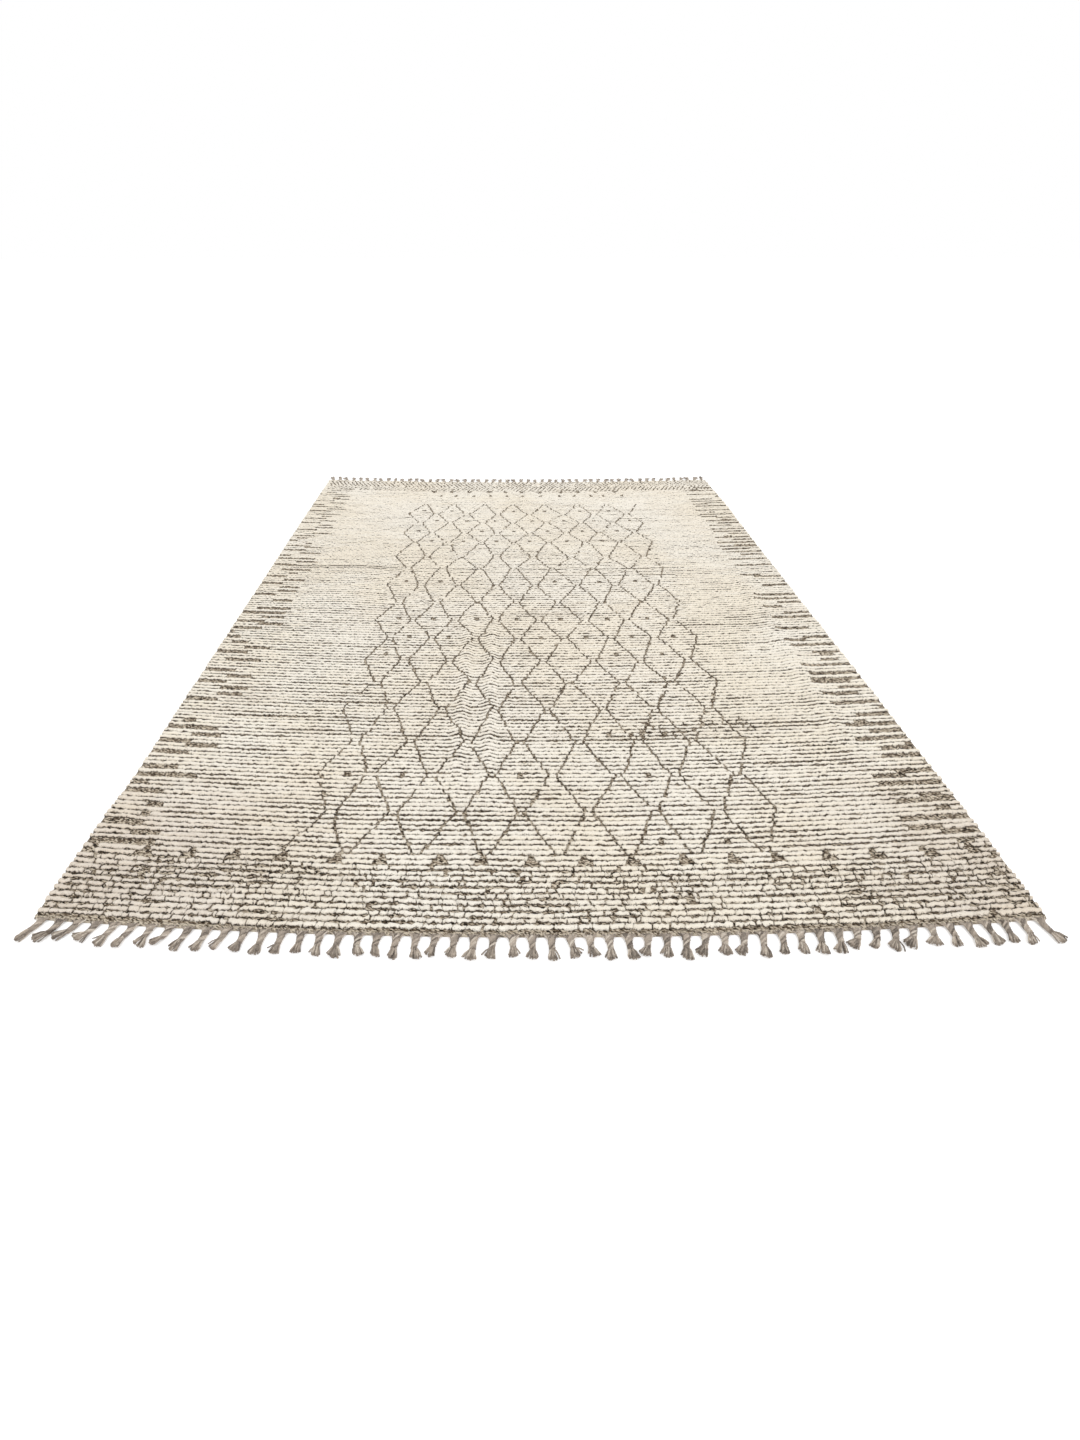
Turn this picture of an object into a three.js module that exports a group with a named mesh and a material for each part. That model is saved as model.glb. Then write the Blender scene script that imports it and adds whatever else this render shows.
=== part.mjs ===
// A hand-knotted wool rug lying flat with its fringes laid out. Millimetres, +Z up.
// +X runs across the rug to the right and +Y along it from the near end to the far end.
import * as THREE from "three";

// Driving dimensions.
const rugWidth = 2000;
const rugLength = 3000; // from end band to end band, without the tassels
const fieldThickness = 13; // woven ground and pile rows together
const rowBow = 45; // how far a row's middle lies nearer than its ends
const endBandDepth = 10; // woven strip that the tassels grow out of
const fringeThickness = 10;
const tasselCount = 54;
const tasselLength = 52;
const seamGap = 0.3;

// Grid of the field, finer where a ripple crosses it.
const columnPitch = 88;
const rowCount = 34;
const bandColumnCount = 26;
const rippleOffsets = [-1, -0.5, 0, 0.5, 1]; // shares of a ripple's reach
const rippleClearance = 1.2; // even columns stay this many reaches from a ripple's crest

const halfWidth = rugWidth / 2;
const halfLength = rugLength / 2;
const tasselPitch = rugWidth / tasselCount;

// Soft ripples and swells in the cloth: where each one lies, how far it reaches and how high.
const ripples = [
  { across: -190, reach: 26, near: -1190, far: -30, height: 9 },
  { across: -112, reach: 26, near: -1190, far: -30, height: 9 },
  { across: 830, reach: 50, near: -1120, far: 430, height: 6 },
  { across: -650, reach: 200, near: -200, far: 480, height: 8 },
];

// How far each side edge wanders to the right of its straight line, from near to far.
const sideWander = [
  { along: -1500, left: 0, right: 0 },
  { along: -1270, left: 3, right: 4 },
  { along: -1050, left: 12, right: 5 },
  { along: -600, left: 9, right: 6 },
  { along: 0, left: 5, right: 4 },
  { along: 700, left: 1, right: 4 },
  { along: 1050, left: 0, right: 6 },
  { along: 1500, left: 0, right: -1 },
];

// How far tassel tips lean to the right at each end of the rug, from left to right.
const tasselLean = {
  near: [
    { across: -1000, lean: -31 },
    { across: -720, lean: -18 },
    { across: -450, lean: -3 },
    { across: -200, lean: -9 },
    { across: 60, lean: 8 },
    { across: 310, lean: -15 },
    { across: 500, lean: -9 },
    { across: 720, lean: -23 },
    { across: 820, lean: 7 },
    { across: 930, lean: -3 },
    { across: 1000, lean: 20 },
  ],
  far: [
    { across: -1000, lean: -14 },
    { across: -500, lean: -4 },
    { across: 0, lean: 2 },
    { across: 600, lean: 8 },
    { across: 1000, lean: 12 },
  ],
};

// One tassel from its root outwards: share of its length, and half its width there.
const tasselOutline = [
  { share: 0, halfWide: 8.5 },
  { share: 0.6, halfWide: 6.3 },
  { share: 0.8, halfWide: 9.5 },
  { share: 1, halfWide: 11 },
];

// Small differences between neighbouring tassels, as waves with so many radians a tassel.
const leanVaries = 4;
const leanTurn = 2.3;
const lengthVaries = 4;
const lengthTurn = 1.7;

const creamPile = new THREE.MeshStandardMaterial({
  name: "cream_pile",
  color: 0xece4d0,
  roughness: 0.95,
  metalness: 0,
});
const taupeYarn = new THREE.MeshStandardMaterial({
  name: "taupe_yarn",
  color: 0x958b7e,
  roughness: 0.92,
  metalness: 0,
});

// A bump that is 1 at its middle and eases to 0 at distance 1.
function swell(distance) {
  const inside = Math.max(0, 1 - distance * distance);
  return inside * inside;
}

// How high the cloth lifts off the floor at a place on it.
function lift(x, y) {
  let height = 0;
  for (const ripple of ripples) {
    const middle = (ripple.near + ripple.far) / 2;
    const halfSpan = (ripple.far - ripple.near) / 2;
    const sideways = (x - ripple.across) / ripple.reach;
    const lengthways = (y - middle) / halfSpan;
    height += ripple.height * swell(sideways) * swell(lengthways * lengthways);
  }
  return height;
}

// A value read from a table at a place, eased between the rows on either side of it.
function readTable(rows, placeColumn, valueColumn, place) {
  let i = 0;
  while (i < rows.length - 2 && rows[i + 1][placeColumn] < place) {
    i += 1;
  }
  const from = rows[i];
  const to = rows[i + 1];
  const ease = THREE.MathUtils.smoothstep(
    place,
    from[placeColumn],
    to[placeColumn],
  );
  return THREE.MathUtils.lerp(from[valueColumn], to[valueColumn], ease);
}

// The place in plan of a point given by its straight, unbowed position on the rug.
function layOut(across, along) {
  const share = across / halfWidth;
  const shift = THREE.MathUtils.lerp(
    readTable(sideWander, "along", "left", along),
    readTable(sideWander, "along", "right", along),
    (share + 1) / 2,
  );
  return new THREE.Vector2(across + shift, along - rowBow * (1 - share * share));
}

// Stations across the field: an even spacing, with extra ones through each ripple.
function fieldColumns() {
  const clearOfRipples = (across) =>
    ripples.every(
      (ripple) =>
        Math.abs(across - ripple.across) > ripple.reach * rippleClearance,
    );
  const steps = Math.round(rugWidth / columnPitch);
  const columns = [];
  for (let i = 0; i <= steps; i += 1) {
    const across = -halfWidth + (rugWidth * i) / steps;
    if (clearOfRipples(across)) {
      columns.push(across);
    }
  }
  for (const ripple of ripples) {
    for (const offset of rippleOffsets) {
      columns.push(ripple.across + offset * ripple.reach);
    }
  }
  return columns.sort((a, b) => a - b);
}

// The field: a box grid whose corners are laid out on the bowed, rippled cloth.
function fieldGeometry() {
  const columns = fieldColumns();
  const steps = columns.length - 1;
  const fieldLength = rugLength - 2 * (endBandDepth + seamGap);
  const geometry = new THREE.BoxGeometry(
    steps,
    rowCount,
    1,
    steps,
    rowCount,
    1,
  );
  const corners = geometry.getAttribute("position");
  for (let i = 0; i < corners.count; i += 1) {
    const across = columns[Math.round(corners.getX(i) + steps / 2)];
    const along = (corners.getY(i) / rowCount) * fieldLength;
    const place = layOut(across, along);
    const level = corners.getZ(i) > 0 ? fieldThickness : 0;
    corners.setXYZ(i, place.x, place.y, level + lift(place.x, place.y));
  }
  geometry.computeVertexNormals();
  return geometry;
}

// One tassel's place across the rug, its lean to the right and its reach straight outwards.
function tasselShape(index, endName) {
  const across = -halfWidth + tasselPitch * (index + 0.5);
  const lean =
    readTable(tasselLean[endName], "across", "lean", across) +
    leanVaries * Math.sin(leanTurn * index);
  const length = tasselLength + lengthVaries * Math.sin(lengthTurn * index);
  return { across, lean, reach: Math.sqrt(length * length - lean * lean) };
}

// The comb at one end, near or far: the end band and every tassel in one outline.
function fringeGeometry(endName) {
  const end = endName === "far" ? 1 : -1;
  const outline = [];
  const innerEdge = end * (halfLength - endBandDepth);
  const outerEdge = end * halfLength;
  for (let i = bandColumnCount; i >= 0; i -= 1) {
    const across = -halfWidth + (rugWidth * i) / bandColumnCount;
    outline.push(layOut(across, innerEdge));
  }
  outline.push(layOut(-halfWidth, outerEdge));
  for (let index = 0; index < tasselCount; index += 1) {
    const tassel = tasselShape(index, endName);
    const root = layOut(tassel.across, outerEdge);
    const leftSide = tasselOutline.map((section) => ({ ...section, side: -1 }));
    const rightSide = tasselOutline.map((section) => ({ ...section, side: 1 }));
    for (const section of [...leftSide, ...rightSide.reverse()]) {
      const bend = tassel.lean * section.share * section.share;
      const x = root.x + bend + section.side * section.halfWide;
      const y = root.y + end * tassel.reach * section.share;
      outline.push(new THREE.Vector2(x, y));
    }
  }
  outline.push(layOut(halfWidth, outerEdge));
  return new THREE.ExtrudeGeometry(new THREE.Shape(outline), {
    depth: fringeThickness,
    bevelEnabled: false,
  });
}

// A named piece of the rug.
function piece(name, geometry, material) {
  const mesh = new THREE.Mesh(geometry, material);
  mesh.name = name;
  return mesh;
}

const cloth = new THREE.Group();
cloth.add(piece("rug_field", fieldGeometry(), creamPile));
cloth.add(piece("fringe_near", fringeGeometry("near"), taupeYarn));
cloth.add(piece("fringe_far", fringeGeometry("far"), taupeYarn));

// The origin is the middle of the rug's underside, fringes counted.
const extent = new THREE.Box3().setFromObject(cloth);
const middle = extent.getCenter(new THREE.Vector3());
cloth.position.set(-middle.x, -middle.y, -extent.min.z);

const rug = new THREE.Group();
rug.add(cloth);

export default rug;
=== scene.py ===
"""A hand-knotted wool rug lying flat: cream pile rows on a woven ground, with tassels at both ends.

Metres, +Z up. +X runs across the rug to the right and +Y along it, from the near end to the far end.
"""

import logging
import math
from collections.abc import Callable, Iterable, Sequence
from dataclasses import dataclass
from enum import Enum

import bmesh
import bpy
import numpy as np
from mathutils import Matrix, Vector

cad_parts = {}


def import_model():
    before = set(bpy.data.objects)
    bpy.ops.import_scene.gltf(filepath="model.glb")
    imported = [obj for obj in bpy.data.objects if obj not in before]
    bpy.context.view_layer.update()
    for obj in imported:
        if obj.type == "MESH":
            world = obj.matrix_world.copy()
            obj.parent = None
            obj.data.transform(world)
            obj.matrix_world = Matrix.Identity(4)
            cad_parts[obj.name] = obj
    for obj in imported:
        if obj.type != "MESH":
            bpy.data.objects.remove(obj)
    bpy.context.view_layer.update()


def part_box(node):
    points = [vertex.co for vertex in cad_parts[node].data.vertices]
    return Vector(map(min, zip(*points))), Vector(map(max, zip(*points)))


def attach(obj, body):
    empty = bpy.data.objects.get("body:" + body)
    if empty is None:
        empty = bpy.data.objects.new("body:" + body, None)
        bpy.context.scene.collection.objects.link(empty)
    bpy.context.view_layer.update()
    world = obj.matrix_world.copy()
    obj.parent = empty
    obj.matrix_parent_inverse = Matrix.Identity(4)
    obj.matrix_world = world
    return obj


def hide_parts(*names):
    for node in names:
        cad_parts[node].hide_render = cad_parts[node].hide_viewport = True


log = logging.getLogger("rug")

HALF_WIDTH = 1.0
HALF_LENGTH = 1.5
AT_RIM = 0.0001  # a share of a sheet nearer to 0 or 1 than this is on its rim
WOOL_SPECULAR = 0.12
FUZZ_ROUGHNESS = 0.6
PLACE = "rug_place"  # each vertex's straight place on the rug: across, along and height
TINT = "yarn_tint"  # a yarn's own lightness, from 0 to 1
SHARE = "yarn_share"  # how far up the pile or along a yarn, from 0 to 1
BAKE_MAP = "OFBake"

Span = tuple[float, float]
Three = tuple[float, float, float]
Colour = tuple[float, float, float, float]


def srgb(red: int, green: int, blue: int) -> Colour:
    """A colour as it shows on screen, 0 to 255, by the sRGB formula in the linear values of shaders."""
    shares = (channel / 255 for channel in (red, green, blue))
    linear = (s / 12.92 if s <= 0.04045 else ((s + 0.055) / 1.055) ** 2.4 for s in shares)
    return (*linear, 1.0)


def eased(rows: Sequence[object], place_name: str, value_name: str, place: np.ndarray) -> np.ndarray:
    """Reads a table at some places, easing between the rows on either side.

    Args:
        rows: The table, in rising order of place.
        place_name: The column that holds the place.
        value_name: The column to read.
        place: Where to read it.

    Returns:
        The values there.
    """
    places = np.array([getattr(row, place_name) for row in rows])
    values = np.array([getattr(row, value_name) for row in rows])
    place = np.asarray(place, float)
    low = np.clip(np.searchsorted(places, place) - 1, 0, len(rows) - 2)
    share = np.clip((place - places[low]) / (places[low + 1] - places[low]), 0, 1)
    return values[low] + (values[low + 1] - values[low]) * smooth(share)


def width_share(across: np.ndarray) -> np.ndarray:
    """How far a place lies on the way across the rug, from 0 at the left to 1 at the right."""
    return (across + HALF_WIDTH) / (2 * HALF_WIDTH)


def smooth(share: np.ndarray) -> np.ndarray:
    """Eases a share from 0 to 1 in and out."""
    return share * share * (3 - 2 * share)


def swell(distance: np.ndarray) -> np.ndarray:
    """A bump that is 1 in its middle and eases to 0 at distance 1."""
    return np.maximum(0, 1 - distance**2) ** 2


@dataclass(frozen=True)
class Ripple:
    """A soft swell in the cloth: where it runs, how far it reaches sideways and how high it is."""

    across: float
    reach: float
    near: float
    far: float
    height: float

    def lift(self, x: np.ndarray, y: np.ndarray) -> np.ndarray:
        """How high this swell lifts the cloth at a place in plan."""
        lengthways = (y - (self.near + self.far) / 2) / ((self.far - self.near) / 2)
        return self.height * swell((x - self.across) / self.reach) * swell(lengthways**2)


@dataclass(frozen=True)
class Wander:
    """How far both side edges stray to the right at one place along the rug."""

    along: float
    left: float
    right: float


@dataclass(frozen=True)
class Cloth:
    """The lie of the whole rug: bowed rows, straying side edges and ripples.

    A place on the rug is given straight and unbowed, as across and along. lay() says where it lies.
    """

    origin: tuple[float, float]
    half_width: float = HALF_WIDTH
    half_length: float = HALF_LENGTH
    row_bow: float = 0.045
    band_depth: float = 0.010
    seam_gap: float = 0.0003
    ground_top: float = 0.0066
    ripples: tuple[Ripple, ...] = (
        Ripple(across=-0.190, reach=0.026, near=-1.190, far=-0.030, height=0.009),
        Ripple(across=-0.112, reach=0.026, near=-1.190, far=-0.030, height=0.009),
        Ripple(across=0.830, reach=0.050, near=-1.120, far=0.430, height=0.006),
        Ripple(across=-0.650, reach=0.200, near=-0.200, far=0.480, height=0.008),
    )
    wander: tuple[Wander, ...] = (
        Wander(along=-1.500, left=0.000, right=0.000),
        Wander(along=-1.270, left=0.003, right=0.004),
        Wander(along=-1.050, left=0.012, right=0.005),
        Wander(along=-0.600, left=0.009, right=0.006),
        Wander(along=0.000, left=0.005, right=0.004),
        Wander(along=0.700, left=0.001, right=0.004),
        Wander(along=1.050, left=0.000, right=0.006),
        Wander(along=1.500, left=0.000, right=-0.001),
    )

    @classmethod
    def on_frame(cls) -> "Cloth":
        """The cloth with its origin set from where the frame's rug_field lies."""
        low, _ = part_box("rug_field")
        field_near_edge = -(cls.half_length - cls.band_depth - cls.seam_gap) - cls.row_bow
        return cls(origin=(low[0] + cls.half_width, low[1] - field_near_edge))

    @property
    def field_half(self) -> float:
        """Half the length of the field between the two end bands."""
        return self.half_length - self.band_depth - self.seam_gap

    def lay(self, across: np.ndarray, along: np.ndarray, height: np.ndarray) -> np.ndarray:
        """Lays places on the rug out in the frame.

        Args:
            across: Straight places across the rug, from -half_width to half_width.
            along: Straight places along it.
            height: Heights above the underside of the cloth.

        Returns:
            The points, with a last axis of three.
        """
        across, along, height = np.broadcast_arrays(across, along, height)
        share = across / self.half_width
        left = eased(self.wander, "along", "left", along)
        right = eased(self.wander, "along", "right", along)
        x = across + left + (right - left) * (share + 1) / 2
        y = along - self.row_bow * (1 - share**2)
        lift = sum(ripple.lift(x, y) for ripple in self.ripples)
        return np.stack([x + self.origin[0], y + self.origin[1], height + lift], -1)


class Drift:
    """A value that wanders smoothly over the rug: one random value a cell, eased in between."""

    def __init__(self, rng: np.random.Generator, columns: int, rows: int) -> None:
        """Draws the values, between -1 and 1, for so many cells across and along."""
        self.values = rng.uniform(-1, 1, (rows + 1, columns + 1))

    def at(self, across_share: np.ndarray, along_share: np.ndarray) -> np.ndarray:
        """Reads the value at shares, from 0 to 1, of the way across and along."""
        rows, columns = self.values.shape
        x = np.clip(across_share, 0, 1) * (columns - 1)
        y = np.clip(along_share, 0, 1) * (rows - 1)
        column = np.minimum(x.astype(int), columns - 2)
        row = np.minimum(np.asarray(y).astype(int), rows - 2)
        right, up = smooth(x - column), smooth(y - row)
        near = self.values[row, column] * (1 - right) + self.values[row, column + 1] * right
        far = self.values[row + 1, column] * (1 - right) + self.values[row + 1, column + 1] * right
        return near * (1 - up) + far * up


@dataclass(frozen=True)
class Beat:
    """How tightly the rows were beaten down at one place along the rug.

    The gaps are what is left between two rows at the left side of the rug and at the right side.
    """

    along: float
    pitch: float
    left_gap: float
    right_gap: float


class RowPlan:
    """Where each pile row lies along the rug, from the near end to the far end."""

    beats = (
        Beat(along=-1.5, pitch=0.0158, left_gap=0.0025, right_gap=0.0025),
        Beat(along=-0.9, pitch=0.0160, left_gap=0.0024, right_gap=0.0024),
        Beat(along=-0.5, pitch=0.0167, left_gap=0.0034, right_gap=0.0009),
        Beat(along=-0.2, pitch=0.0171, left_gap=0.0031, right_gap=0.0009),
        Beat(along=0.2, pitch=0.0168, left_gap=0.0024, right_gap=0.0010),
        Beat(along=0.6, pitch=0.0154, left_gap=0.0016, right_gap=0.0012),
        Beat(along=1.5, pitch=0.0152, left_gap=0.0012, right_gap=0.0012),
    )

    def __init__(self, half: float, count: int = 187) -> None:
        """Steps from one row to the next, then fits them all between -half and half."""
        edges = [-half]
        for _ in range(count):
            edges.append(edges[-1] + float(eased(self.beats, "along", "pitch", edges[-1])))
        fit = 2 * half / (edges[-1] + half)
        self.count = count
        self.edges = -half + (np.array(edges) + half) * fit
        self.middles = (self.edges[1:] + self.edges[:-1]) / 2
        self.left_gaps = eased(self.beats, "along", "left_gap", self.edges)
        self.right_gaps = eased(self.beats, "along", "right_gap", self.edges)

    def row_at(self, along: float) -> int:
        """The row whose middle is nearest to a place along the rug."""
        return int(np.argmin(np.abs(self.middles - along)))

    def gap_at(self, along: float) -> int:
        """The gap nearest to a place. Gap g lies on the near side of row g."""
        return int(np.argmin(np.abs(self.edges - along)))


@dataclass(frozen=True)
class OpenGap:
    """A stretch where two rows stand apart and the dark ground shows between them."""

    left: float
    right: float
    along: float
    opens: float
    ease: float = 0.07  # the length over which it opens, half of it beyond each end

    def width_at(self, across: np.ndarray) -> np.ndarray:
        """How much wider the gap is at each place across."""
        inside = np.minimum(across - self.left, self.right - across) / self.ease + 0.5
        return self.opens * smooth(np.clip(inside, 0, 1))


@dataclass(frozen=True)
class Stretch:
    """A stretch of a row, from left to right.

    A slant says how much further right the far side of that end lies than its near side.
    """

    left: float
    right: float
    left_slant: float = 0.0
    right_slant: float = 0.0


@dataclass(frozen=True)
class Pinch:
    """A place where a row's pile parts without a gap, and how far the parting slants to the right."""

    across: float
    slant: float


class Draft:
    """The weaver's draft: what each pile row leaves out, where it parts, and the gaps that stand open."""

    def __init__(self, plan: RowPlan) -> None:
        """Starts with every row whole and every gap closed."""
        self.plan = plan
        self.cuts: list[list[Stretch]] = [[] for _ in range(plan.count)]
        self.pinches: list[list[Pinch]] = [[] for _ in range(plan.count)]
        self.open_gaps: list[list[OpenGap]] = [[] for _ in range(plan.count + 1)]

    def cut(self, row: int, cut: Stretch) -> None:
        """Leaves a stretch of a row's pile out."""
        if 0 <= row < len(self.cuts):
            self.cuts[row].append(cut)

    def notch(self, row: int, across: float, width: float, slant: float = 0.0, taper: float = 0.0) -> None:
        """Leaves the pile out over a short width.

        Args:
            row: The row's number.
            across: The notch's middle.
            width: Its width.
            slant: How much further right its far side lies than its near side.
            taper: How much further in the far side lies at each end.
        """
        self.cut(row, Stretch(across - width / 2, across + width / 2, slant + taper, slant - taper))

    def pinch(self, row: int, pinch: Pinch) -> None:
        """Parts a row's pile at a place."""
        if 0 <= row < len(self.pinches):
            self.pinches[row].append(pinch)

    def runs(self, row: int, left: float, right: float, shortest: float) -> list[Stretch]:
        """The stretches of pile that a row keeps.

        Args:
            row: The row's number.
            left: Where the row starts.
            right: Where it ends.
            shortest: A stretch shorter than this is left out.

        Returns:
            The stretches, from left to right.
        """
        kept = []
        start, slant = left, 0.0
        for cut in [*sorted(self.cuts[row], key=lambda cut: cut.left), Stretch(right, right)]:
            end = min(cut.left, right)
            if end - start >= shortest:
                kept.append(Stretch(start, end, slant, cut.left_slant))
            if cut.right > start:
                start, slant = cut.right, cut.right_slant
        return kept

    def open_gap(self, gap: OpenGap) -> None:
        """Opens the gap between two rows."""
        self.open_gaps[self.plan.gap_at(gap.along)].append(gap)

    def opening(self, gap: int, across: np.ndarray) -> np.ndarray:
        """How much wider than usual a gap stands at each place across."""
        return sum((g.width_at(across) for g in self.open_gaps[gap]), np.zeros_like(across))


@dataclass(frozen=True)
class DotRow:
    """A row of dots, one in the middle of each named column's diamond."""

    along: float
    columns: str


@dataclass(frozen=True)
class LozengeLattice:
    """The net of diamonds: zigzag lines of narrow notches, one notch to a row, with dots inside."""

    # The columns that diamonds close on: B0, A1, B1, A2 and so on, from left to right.
    columns: tuple[float, ...] = (
        -0.527, -0.452, -0.390, -0.316, -0.247, -0.170, -0.104, -0.035,
        0.042, 0.117, 0.201, 0.275, 0.344, 0.420, 0.498, 0.565,
    )
    # Lines close on the A columns at the first place, on the B columns at the next, and so on.
    closings: tuple[float, ...] = (
        1.098, 0.962, 0.850, 0.714, 0.601, 0.432, 0.315, 0.147, 0.002,
        -0.148, -0.280, -0.434, -0.562, -0.708, -0.866, -1.008, -1.145, -1.285,
    )
    near_end: float = -1.270
    widens_from: float = -0.4  # where along the rug its left side starts to widen, towards the near end
    widens_by: float = 0.085
    clearance: float = 0.0095  # how far lines stay from the columns that they turn at
    notch_width: float = 0.0056
    notch_varies: Span = (0.75, 1.25)
    notch_slants: float = 0.6  # slant of a notch, as a share of what its line moves in one row
    wobble: float = 0.0020  # how far a notch strays from its line
    sway: float = 0.004  # how far a line wanders from straight
    sway_cells: int = 30
    missing_share: float = 0.05
    double_share: float = 0.06  # notches of twice the width
    dot_width: float = 0.0140
    dot_varies: Span = (0.85, 1.2)
    dot_strays: float = 0.006
    dot_opens: float = 0.0036  # how far the gaps on either side of a dot open
    dot_ease: float = 0.008
    dot_rows: tuple[DotRow, ...] = (
        DotRow(1.015, "A1 A2 A4 A5 A6 A7"),
        DotRow(0.873, "B1 B2 B3 B4 B5 B6 B7"),
        DotRow(0.734, "A1 A3 A4 A5 A6 A7"),
        DotRow(0.620, "B1 B2 B3 B4 B5 B6"),
        DotRow(0.178, "A1 A2 A5 A6 A7"),
        DotRow(-0.138, "A1 A2 A3 A4 A5 A6 A7"),
        DotRow(-0.269, "B1 B2 B4 B5 B6 B7"),
        DotRow(-0.388, "A1 A6 A7"),
        DotRow(-0.829, "B5 B6"),
        DotRow(-1.014, "A1 A2 A4 A6"),
        DotRow(-1.247, "A6 A7"),
    )

    def line_at(self, line: int, along: float) -> float:
        """How far across a zigzag line lies at a place along the rug.

        Args:
            line: The line's number. It runs to and fro between two neighbouring columns.
            along: A place between the first closing and the last.

        Returns:
            The place across.
        """
        step = 0
        while step < len(self.closings) - 2 and self.closings[step + 1] > along:
            step += 1
        far, near = self.closings[step], self.closings[step + 1]
        share = min(max((far - along) / (far - near), 0), 1)
        right_of_left = self.columns[line] + self.clearance
        left_of_right = self.columns[line + 1] - self.clearance
        # Even lines have their A column on the right, and even steps leave an A closing.
        starts_right = (line % 2 == 0) == (step % 2 == 0)
        ends = (left_of_right, right_of_left) if starts_right else (right_of_left, left_of_right)
        return self.strayed(ends[0] + (ends[1] - ends[0]) * share, along)

    def strayed(self, across: float, along: float) -> float:
        """A place across, moved outwards where the left side of the net widens."""
        return across + self.widens_by * min(across, 0) * max(self.widens_from - along, 0)

    def column(self, name: str) -> float:
        """Where a column lies across, by its name: its letter and its number."""
        return self.columns[2 * int(name[1]) - (name[0] == "A")]

    def mark(self, draft: Draft, rng: np.random.Generator) -> None:
        """Notches the rows along every line and puts the dots in."""
        self.mark_lines(draft, rng)
        for dots in self.dot_rows:
            for name in dots.columns.split():
                self.mark_dot(draft, rng, name, dots.along)

    def mark_lines(self, draft: Draft, rng: np.random.Generator) -> None:
        """Notches the rows along every line."""
        plan = draft.plan
        far_row, near_row = plan.row_at(self.closings[0]), plan.row_at(self.near_end)
        lines = len(self.columns) - 1
        sway = Drift(rng, lines, self.sway_cells)
        for line in range(lines):
            for row in range(near_row, far_row + 1):
                if rng.random() < self.missing_share:
                    continue
                share = np.array((row - near_row) / (far_row - near_row))
                across = self.line_at(line, plan.middles[row]) + rng.normal(0, self.wobble)
                across += self.sway * float(sway.at(np.array(line / lines), share))
                moves = self.line_at(line, plan.edges[row + 1]) - self.line_at(line, plan.edges[row])
                width = self.notch_width * rng.uniform(*self.notch_varies)
                width += self.notch_width * (rng.random() < self.double_share)
                draft.notch(row, across, width, self.notch_slants * moves)

    def mark_dot(self, draft: Draft, rng: np.random.Generator, column: str, along: float) -> None:
        """Puts one dot in, on a named column: a wide notch between two gaps that stand open."""
        row = draft.plan.row_at(along)
        across = self.strayed(self.column(column), along) + rng.normal(0, self.dot_strays)
        width = self.dot_width * rng.uniform(*self.dot_varies)
        draft.notch(row, across, width)
        for edge in draft.plan.edges[row:row + 2]:
            left, right = across - width / 2, across + width / 2
            draft.open_gap(OpenGap(left, right, edge, self.dot_opens, self.dot_ease))


@dataclass(frozen=True)
class FigureRow:
    """A row of small figures across the rug, each cut out of a few pile rows.

    widths gives a figure's width in each pile row that it takes, from the near one to the far one.
    """

    along: float
    left: float
    right: float
    count: int
    widths: tuple[float, ...]
    stray: float
    taper: float = 0.0
    lean: float = 0.0  # how far a figure at the side of the rug leans inwards for each row up
    row_strays: float = 0.002  # how far one row of a figure strays from the others
    width_varies: Span = (0.88, 1.12)

    def mark(self, draft: Draft, rng: np.random.Generator) -> None:
        """Cuts every figure out of its rows."""
        first = draft.plan.row_at(self.along)
        for across in np.linspace(self.left, self.right, self.count):
            middle = across + rng.normal(0, self.stray)
            for step, width in enumerate(self.widths):
                width *= rng.uniform(*self.width_varies)
                leaning = -self.lean * across * step
                place = middle + leaning + rng.normal(0, self.row_strays)
                draft.notch(first + step, place, width, taper=self.taper)


@dataclass(frozen=True)
class BrickBand:
    """Rows at an end of the rug, cut into short bricks whose joints step sideways in a herringbone."""

    near: float
    far: float
    spacing: float  # between the joints where they are closest
    sparse: float  # how many times as far apart they are where they are rarest
    joint: float
    joint_varies: Span
    step: float  # sideways from one row to the next
    turns_after: int  # rows before the herringbone turns
    missing_share: float
    stray_share: float  # how far joints stray, as a share of their spacing
    pinched_share: float  # joints where the pile only parts
    slant_varies: Span = (0.1, 1.1)  # slant of a joint, as a share of the step
    crowding_cells: tuple[int, int] = (9, 3)
    crowding_swing: float = 0.9  # how strongly joints crowd in some places and thin out in others

    def mark(self, draft: Draft, rng: np.random.Generator) -> None:
        """Cuts or pinches the joints of every row in the band."""
        first, last = draft.plan.row_at(self.near), draft.plan.row_at(self.far)
        crowding = Drift(rng, *self.crowding_cells)
        shift = 0.0
        for number, row in enumerate(range(first, last + 1)):
            turned = (number // self.turns_after) % 2
            step = -self.step if turned else self.step
            shift += step
            across = -HALF_WIDTH + shift % self.spacing
            while across < HALF_WIDTH:
                along_share = np.array(number / (last - first + 1))
                crowd = self.crowding_swing * float(crowding.at(np.array(width_share(across)), along_share))
                across += self.spacing * (1 + (self.sparse - 1) * smooth(min(max(0.5 + crowd, 0), 1)))
                chance = rng.random()
                place = across + rng.normal(0, self.spacing * self.stray_share)
                slant = step * rng.uniform(*self.slant_varies)
                if chance < self.pinched_share:
                    draft.pinch(row, Pinch(place, slant))
                elif chance < 1 - self.missing_share:
                    draft.notch(row, place, self.joint * rng.uniform(*self.joint_varies), slant)


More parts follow.
